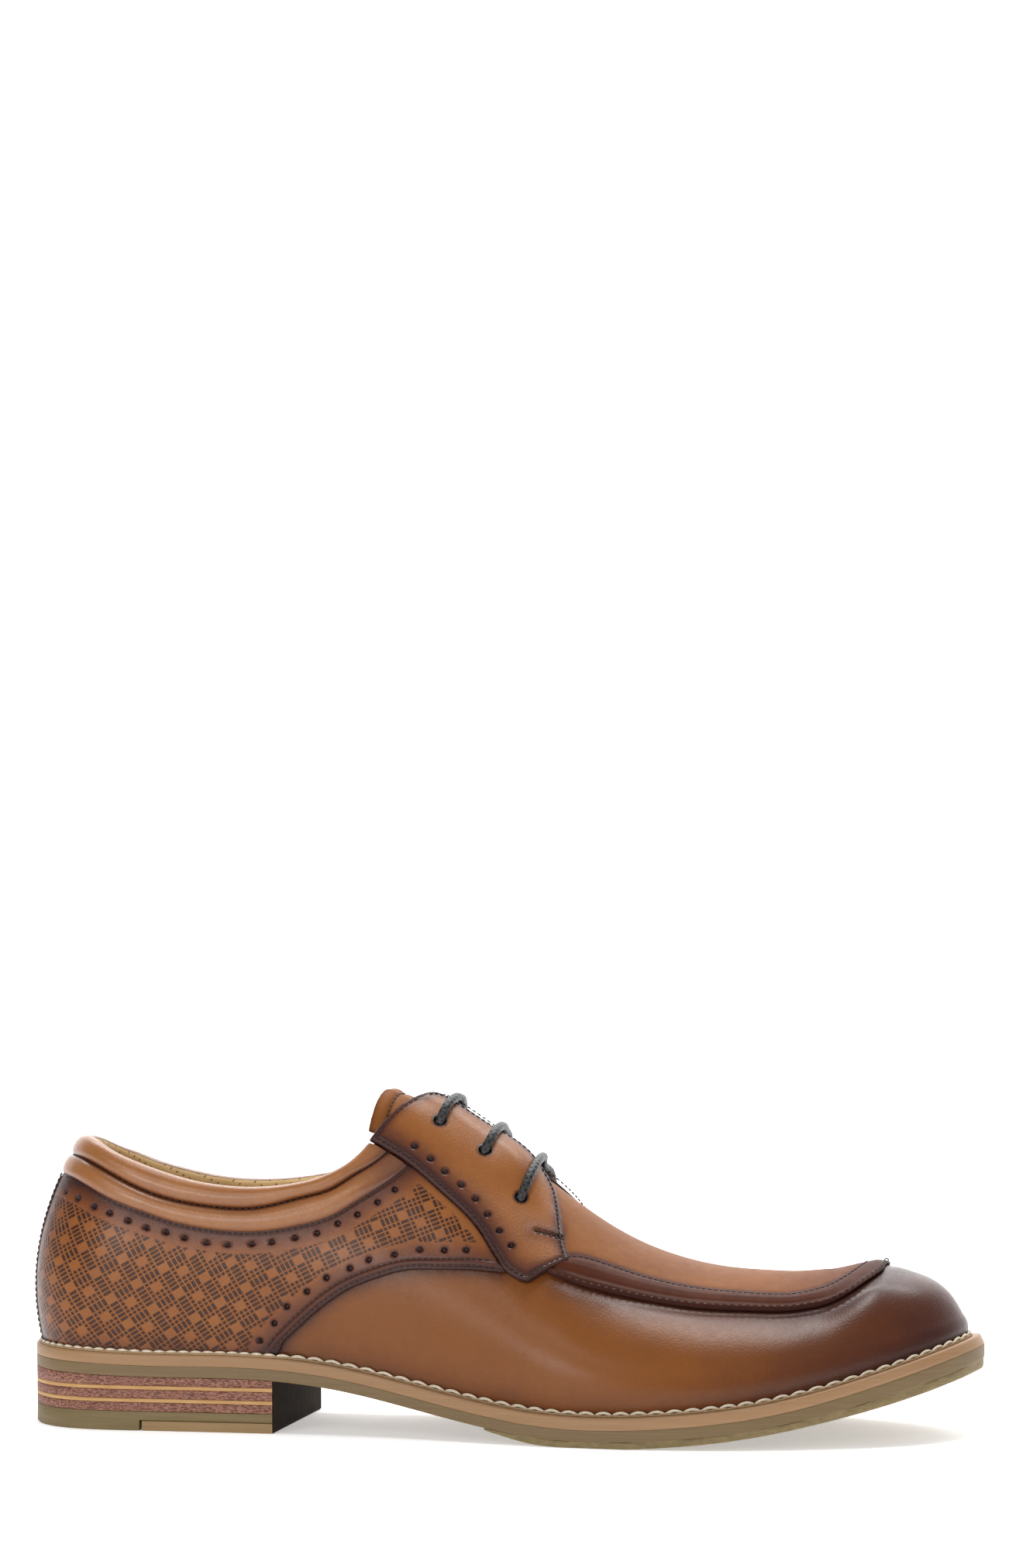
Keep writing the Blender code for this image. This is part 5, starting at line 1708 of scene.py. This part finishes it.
@dataclass
class WeltedSole:
    """Welt with its stitched cord, midsole and forepart outsole."""

    columns: int = 200
    outsole_start: float = 0.552
    waist: tuple[float, float] = (0.485, 0.555)
    toe_depth: float = 1.6 * MM
    toe_slant: float = 1.6 * MM
    welt_depth: float = 3.67 * MM
    cord_pitch: float = 5.7 * MM
    seat_pitch: float = 4.0 * MM

    def build(self, finishes: Finishes) -> None:
        """Make the layers, top to bottom."""
        self.make_welt(finishes)
        side = np.linspace(0, 1, self.columns)

        def under_welt(x: Array) -> Array:
            """Height of the midsole's top."""
            return LAST.sole_top(x) - WELT_THICKNESS

        def toe(x: Array) -> Array:
            """1 under the toe, where the sole is thicker."""
            return smooth_step(x, 0.80 * SOLE_LENGTH, 0.96 * SOLE_LENGTH)

        def under_midsole(x: Array) -> Array:
            """Height of the midsole's underside."""
            return under_welt(x) - MIDSOLE_THICKNESS - self.toe_depth / 2 * toe(x)

        def tread(x: Array) -> Array:
            """Height of the outsole's underside, flat on the floor at the ball."""
            share = np.clip((x / SOLE_LENGTH - self.waist[0]) / (self.waist[1] - self.waist[0]), 0, 1)
            return np.maximum(under_midsole(x) - OUTSOLE_THICKNESS * share - self.toe_depth / 2 * toe(x), 0)

        profile = [(0.15 * MM, under_welt), (0.04 * MM, lambda x: under_welt(x) - 0.2 * MM),
                   (0.02 * MM, lambda x: under_welt(x) - 0.7 * MM),
                   (0.02 * MM, lambda x: under_midsole(x) + 0.6 * MM),
                   (0.06 * MM, lambda x: under_midsole(x) + 0.2 * MM), (0.20 * MM, under_midsole)]
        dress(make_plate("midsole_layer", side, profile, finishes.midsole), "midsole", "midsole")
        forepart = np.concatenate([[self.outsole_start], side[side > self.outsole_start + 0.003]])

        def top(x: Array) -> Array:
            """Height of the outsole's top."""
            return under_midsole(x) - 0.03 * MM

        def between(share: float) -> Height:
            """A height between the outsole's top and its tread."""
            return lambda x: top(x) + (tread(x) - top(x)) * share

        profile = [(0.30 * MM, top), (0.25 * MM, between(0.12)), (0.20 * MM, between(0.35)),
                   (0.25 * MM, between(0.8)), (0.55 * MM, between(0.97)), (1.2 * MM, tread)]
        dress(make_plate("outsole_forepart", forepart, profile, finishes.outsole, rough=0.22 * MM),
              "outsole", "outsole")

    def make_welt(self, finishes: Finishes) -> None:
        """The welt's ring and the cord sewn along it beside the upper."""
        wraps = np.linspace(0, 2, 2 * self.columns, endpoint=False)
        outline = LAST.outline(wraps)
        inner = LAST.outline(wraps, UPPER_WALL, 1.0)
        ledge = LAST.outline(wraps, -0.4 * MM, 1.0)
        loops = [(inner, 0.0), (ledge, 0.0)]
        lean = self.toe_slant * bell(wraps - 1, 0.06)
        for inset, drop in ((1.1, 0.0), (0.45, 0.06), (0.10, 0.35), (0.0, 0.8), (0.0, 2.6), (0.04, 3.5),
                            (0.15, self.welt_depth / MM)):
            slant = lean * (1 - drop * MM / self.welt_depth)
            loops.append((LAST.outline(wraps, inset * MM + slant), drop * MM))
        loops.append((inner, self.welt_depth))
        rings = [to_part(plan, LAST.sole_top(plan[..., 0]) - drop) for plan, drop in loops]
        points = np.stack(rings, axis=1)
        columns, rows = points.shape[:2]
        faces = ring_faces(columns, rows, closed=True)
        dress(new_piece("welt_ring", points.reshape(-1, 3), faces, finishes.welt), "welt", "welt")
        self.make_cord(finishes, outline)

    def make_cord(self, finishes: Finishes, outline: Array) -> None:
        """Scallops of ivory cord, and the flat strand that they are sewn over."""
        fine = np.linspace(0, 2, 9000)
        line = to_part(LAST.outline(fine), np.zeros(len(fine)))
        lengths = lengths_along(line)
        count = int(round(lengths[-1] / (0.7 * MM)))
        wrap = np.interp(np.arange(count) * lengths[-1] / count, lengths, fine)
        side = np.minimum(wrap, 2 - wrap)
        seat = 1 - smooth_step(side, 0.30, 0.36)
        speed = 1 / (self.cord_pitch + (self.seat_pitch - self.cord_pitch) * seat)
        phase = np.cumsum(speed) * lengths[-1] / count
        phase = phase * round(phase[-1]) / phase[-1]
        arch = np.abs(np.sin(math.pi * phase)) ** 0.75
        out = -(0.75 * MM + 1.55 * MM * seat) - 0.25 * MM * arch
        plan = LAST.outline(wrap, out, 1.0)
        rise = (0.30 + (1.05 - 0.45 * seat) * arch) * MM
        path = to_part(plan, LAST.sole_top(plan[..., 0]) + rise)
        thick = (0.36 + 0.14 * arch) * MM
        cord = make_tube("welt_stitch_cord", path[:-1], thick[:-1], finishes.cord, sides=8, closed=True)
        dress(cord, "welt")
        plan = LAST.outline(wrap[::3], (out - 0.55 * MM)[::3] + 0.25 * MM * arch[::3], 1.0)
        low = (0.22 + 0.16 * np.abs(np.cos(math.pi * phase[::3]))) * MM
        path = to_part(plan, LAST.sole_top(plan[..., 0]) + low)
        cord = make_tube("welt_under_cord", path[:-1], 0.42 * MM, finishes.seat_cord, sides=8, closed=True)
        dress(cord, "welt")


def flat(height: float) -> Height:
    """One height at every x."""
    return lambda x: np.full_like(x, height)


def plate_grid(wraps: Array, height: Height, inset: Array | float, lanes: int, rough: float = 0.0) -> Array:
    """A surface across the sole, from its lateral to its medial edge.

    Args:
        wraps: Wraps of the lateral side, heel to toe.
        height: The height at each x.
        inset: How far the edge lies inside the outline.
        lanes: How many strips lie across.
        rough: How unevenly the edge is cut.
    """
    def edge(at: Array) -> Array:
        """One side's edge, with its unevenness."""
        ripple = np.sin(at * 97) + 0.7 * np.sin(at * 231 + 1) + 0.6 * np.sin(at * 617 + 2)
        return LAST.outline(at, inset + rough * ripple)

    lateral, medial = edge(wraps), edge(2 - wraps)
    across = np.linspace(0, 1, lanes + 1)[None, :, None]
    plan = lateral[:, None] + (medial - lateral)[:, None] * across
    return to_part(plan, height(plan[..., 0]))


def make_plate(name: str, wraps: Array, profile: list, material: bpy.types.Material, lanes: int = 6,
               rough: float = 0.0) -> bpy.types.Object:
    """A closed layer of the sole with a shaped side.

    Args:
        name: The piece's name.
        wraps: Wraps of the lateral side, heel to toe.
        profile: Inset and height function of each ring, from the top's edge to the underside's.
        material: The finish.
        lanes: How many strips lie across.
        rough: How unevenly the side is cut.
    """
    grids = [plate_grid(wraps, height, inset, lanes, rough if 0 < number else 0.0)
             for number, (inset, height) in enumerate(profile)]
    columns, rows = grids[0].shape[:2]
    index = np.arange(columns * rows).reshape(columns, rows)
    loop = np.concatenate([index[:, 0], index[-1, 1:], index[-2::-1, -1], index[0, -2:0:-1]])
    rings = [grid.reshape(-1, 3)[loop] for grid in grids]
    cells = grid_cells(columns, rows).reshape(-1, 4)
    size, points = columns * rows, [grids[0].reshape(-1, 3), grids[-1].reshape(-1, 3), *rings]
    faces = cells.tolist() + (cells[:, ::-1] + size).tolist()
    for face in ring_faces(len(rings), len(loop)):
        faces.append([2 * size + face[corner] for corner in (1, 0, 3, 2)])
    return new_piece(name, np.concatenate(points), faces, material, sharp=45)


@dataclass
class StackedHeel:
    """Lift, insert, layers with pale lines between, and a wedge on top."""

    breast: float = 85 * MM
    lift_height: float = 6.2 * MM
    line_thickness: float = 1.3 * MM
    layer_thickness: float = 2.8 * MM
    insert_height: float = 3.3 * MM
    insert_start: float = 41.5 * MM
    groove: float = 0.55 * MM
    columns: int = 90

    def wraps(self) -> Array:
        """Wraps round the heel, with close ones at the groove and the last at the breast."""
        fine = np.linspace(0, 0.44, 2000)
        x = LAST.outline(fine)[:, 0]
        last, step = np.interp(self.breast, x, fine), np.interp(self.insert_start, x, fine)
        even = np.linspace(0, last, self.columns)
        even = even[np.abs(even - step) > 0.002]
        return np.sort(np.concatenate([even, [step - 0.0002, step + 0.0002]]))

    def layer(self, name: str, bottom: float, top: Height, material: bpy.types.Material,
              slot: str, node: str) -> None:
        """A layer of the stack with eased edges.

        Args:
            name: The piece's name.
            bottom: Height of its underside.
            top: Height of its top at each x.
            material: The finish.
            slot: The record's material slot.
            node: The CAD node that it stands for.
        """
        ease = 0.18 * MM
        profile = [(0.22 * MM, top), (0.05 * MM, lambda x: top(x) - ease),
                   (0.05 * MM, flat(bottom + ease)), (0.22 * MM, flat(bottom))]
        dress(make_plate(name, self.wraps(), profile, material), slot, node)

    def build(self, finishes: Finishes) -> None:
        """Make the heel from the floor up."""
        self.make_lift(finishes)
        self.make_breast_shade_board(finishes)
        level = self.lift_height
        seam = 0.10 * MM
        kinds = (("layer", self.layer_thickness, finishes.stack, "stacked_heel"),
                 ("line", self.line_thickness, finishes.line, "heel_line"))
        for number in (1, 2):
            for kind, thickness, finish, slot in kinds:
                self.layer(f"stack_{kind}_{number}", level + seam, flat(level + thickness), finish, slot,
                           f"heel_{kind}_{number}")
                level += thickness
        self.layer("stack_wedge", level + seam,
                   lambda x: LAST.sole_top(x) - WELT_THICKNESS - MIDSOLE_THICKNESS - seam,
                   finishes.stack, "stacked_heel", "heel_wedge")

    def make_breast_shade_board(self, finishes: Finishes) -> None:
        """The thin dark board over the heel's front: painted shade on a face that lies in shade."""
        wrap = self.wraps()[-1]
        ends = LAST.outline(np.array([wrap, 2 - wrap]), 0.3 * MM)
        plan = ends[0] + (ends[1] - ends[0]) * np.linspace(0, 1, 9)[:, None, None]
        top = LAST.sole_top(np.array(self.breast)) - WELT_THICKNESS - MIDSOLE_THICKNESS - 0.1 * MM
        height = np.linspace(0.3 * MM, top, 8)[None]
        grid = to_part(np.broadcast_to(plan, (9, 8, 2)), np.broadcast_to(height, (9, 8)))
        front, back = (grid + np.array([reach * MM, 0, 0]) for reach in (0.40, 0.05))
        dress(make_slab("heel_breast_shade_board", front, back, finishes.breast), "stacked_heel")

    def make_lift(self, finishes: Finishes) -> None:
        """The top lift, stepped over its insert."""
        def under(x: Array) -> Array:
            """Underside: on the floor behind the groove and over the insert in front."""
            return np.where(x < self.insert_start, 0.0, self.insert_height)

        profile = [(0.22 * MM, flat(self.lift_height)), (0.05 * MM, flat(self.lift_height - 0.18 * MM)),
                   (0.05 * MM, lambda x: under(x) + 0.5 * MM), (0.5 * MM, under)]
        dress(make_plate("top_lift", self.wraps(), profile, finishes.lift), "heel_lift", "heel_lift")
        wraps = self.wraps()
        x = LAST.outline(wraps)[:, 0]
        front = wraps[x > self.insert_start + self.groove]
        high = self.insert_height - 0.12 * MM
        profile = [(0.22 * MM, flat(high)), (0.06 * MM, flat(high - 0.15 * MM)),
                   (0.06 * MM, flat(0.5 * MM)), (0.5 * MM, flat(0.0))]
        piece = make_plate("top_lift_insert", front, profile, finishes.insert)
        dress(piece, "lift_insert", "heel_lift_insert")


@dataclass
class Studio:
    """The pale floor, the soft lights and the camera at the photograph's angle."""

    target: tuple[float, float, float] = (0.0, 0.0, 0.045)
    azimuth: float = 11.0
    elevation: float = 5.4
    distance: float = 1.5
    lens: float = 107.5
    shift: tuple[float, float] = (0.0042, 0.320)
    sky: float = 0.28
    paper_glow: float = 0.40

    def build(self) -> None:
        """Make the camera, the lights and the floor."""
        self.make_camera()
        self.make_floor()
        world = bpy.data.worlds.new("studio")
        world.use_nodes = True
        background = world.node_tree.nodes["Background"]
        background.inputs["Color"].default_value = (1.0, 1.0, 1.0, 1.0)
        background.inputs["Strength"].default_value = self.sky
        bpy.context.scene.world = world
        self.make_light("overhead", (0.16, -0.04, 1.30), (0.06, 0.0, 0.0), (0.55, 0.26), 8)
        self.make_light("front_low", (-0.51, -1.25, 0.27), (-0.12, 0.0, 0.06), (0.26, 0.16), 2.8)
        self.make_light("collar_strip", (-0.45, -1.10, 0.75), (-0.06, 0.0, 0.09), (0.7, 0.10), 2.0)
        self.make_light("front_fill", (0.55, -1.60, 1.30), (0.0, 0.0, 0.05), (1.0, 1.0), 1)
        self.make_light("backdrop", (0.0, 1.70, 2.90), (0.0, 2.9, 0.4), (4.0, 0.8), 150)
        bpy.context.scene.view_settings.view_transform = "Standard"
        bpy.context.scene.view_settings.look = "None"

    def make_camera(self) -> None:
        """The camera, with no depth of field."""
        a, e = math.radians(self.azimuth), math.radians(self.elevation)
        back = Vector((math.sin(a) * math.cos(e), -math.cos(a) * math.cos(e), math.sin(e)))
        data = bpy.data.cameras.new("photo_camera")
        data.lens, data.sensor_width = self.lens, 36.0
        data.shift_x, data.shift_y = self.shift
        data.clip_end = 50
        camera = bpy.data.objects.new("photo_camera", data)
        camera.location = Vector(self.target) + back * self.distance
        camera.rotation_euler = (-back).to_track_quat("-Z", "Y").to_euler()
        bpy.context.scene.collection.objects.link(camera)
        bpy.context.scene.camera = camera

    def make_light(self, name: str, place: tuple, aim: tuple, size: tuple[float, float],
                   power: float) -> None:
        """A softbox that faces a point."""
        data = bpy.data.lights.new(name, "AREA")
        data.shape, data.size, data.size_y, data.energy = "RECTANGLE", size[0], size[1], power
        light = bpy.data.objects.new(name, data)
        light.location = place
        light.rotation_euler = (Vector(aim) - Vector(place)).to_track_quat("-Z", "Y").to_euler()
        bpy.context.scene.collection.objects.link(light)

    def make_floor(self) -> None:
        """A sweep of white paper: the floor, curving up behind."""
        radius, depth, wall, width = 1.2, 3.0, 4.0, 6.0
        profile = [(-4.0, 0.0), (depth - radius, 0.0)]
        for step in range(1, 17):
            turn = math.pi / 2 * step / 16
            profile.append((depth - radius + radius * math.sin(turn), radius - radius * math.cos(turn)))
        profile.append((depth, wall))
        points = np.array([(x, y, z) for y, z in profile for x in (-width, width)])
        points[:, 2] -= 0.02 * MM
        faces = [[2 * row, 2 * row + 1, 2 * row + 3, 2 * row + 2] for row in range(len(profile) - 1)]
        graph = Graph("white_paper", 0.9, glow=self.paper_glow)
        graph.finish(graph.ramp(graph.noise(0.4), (0.0, (0.86, 0.86, 0.86)), (1.0, (0.88, 0.88, 0.88))))
        new_piece("paper_sweep", points, faces, graph.material)


def main() -> None:
    """Build the shoe and the studio round it."""
    logging.basicConfig(level=logging.INFO, format="%(message)s")
    finishes = Finishes()
    UpperWall().build(finishes)
    Lining().build(finishes)
    Collar().build(finishes)
    for side in Side:
        Quarter(side).build(finishes)
        Facing(side).build(finishes)
    BackStrap().build(finishes)
    Apron().build(finishes)
    Tongue().build(finishes)
    Lace().build(finishes)
    WeltedSole().build(finishes)
    StackedHeel().build(finishes)
    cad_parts["insole"].data.materials[0] = finishes.insole
    Studio().build()


if __name__ == "__main__":
    main()
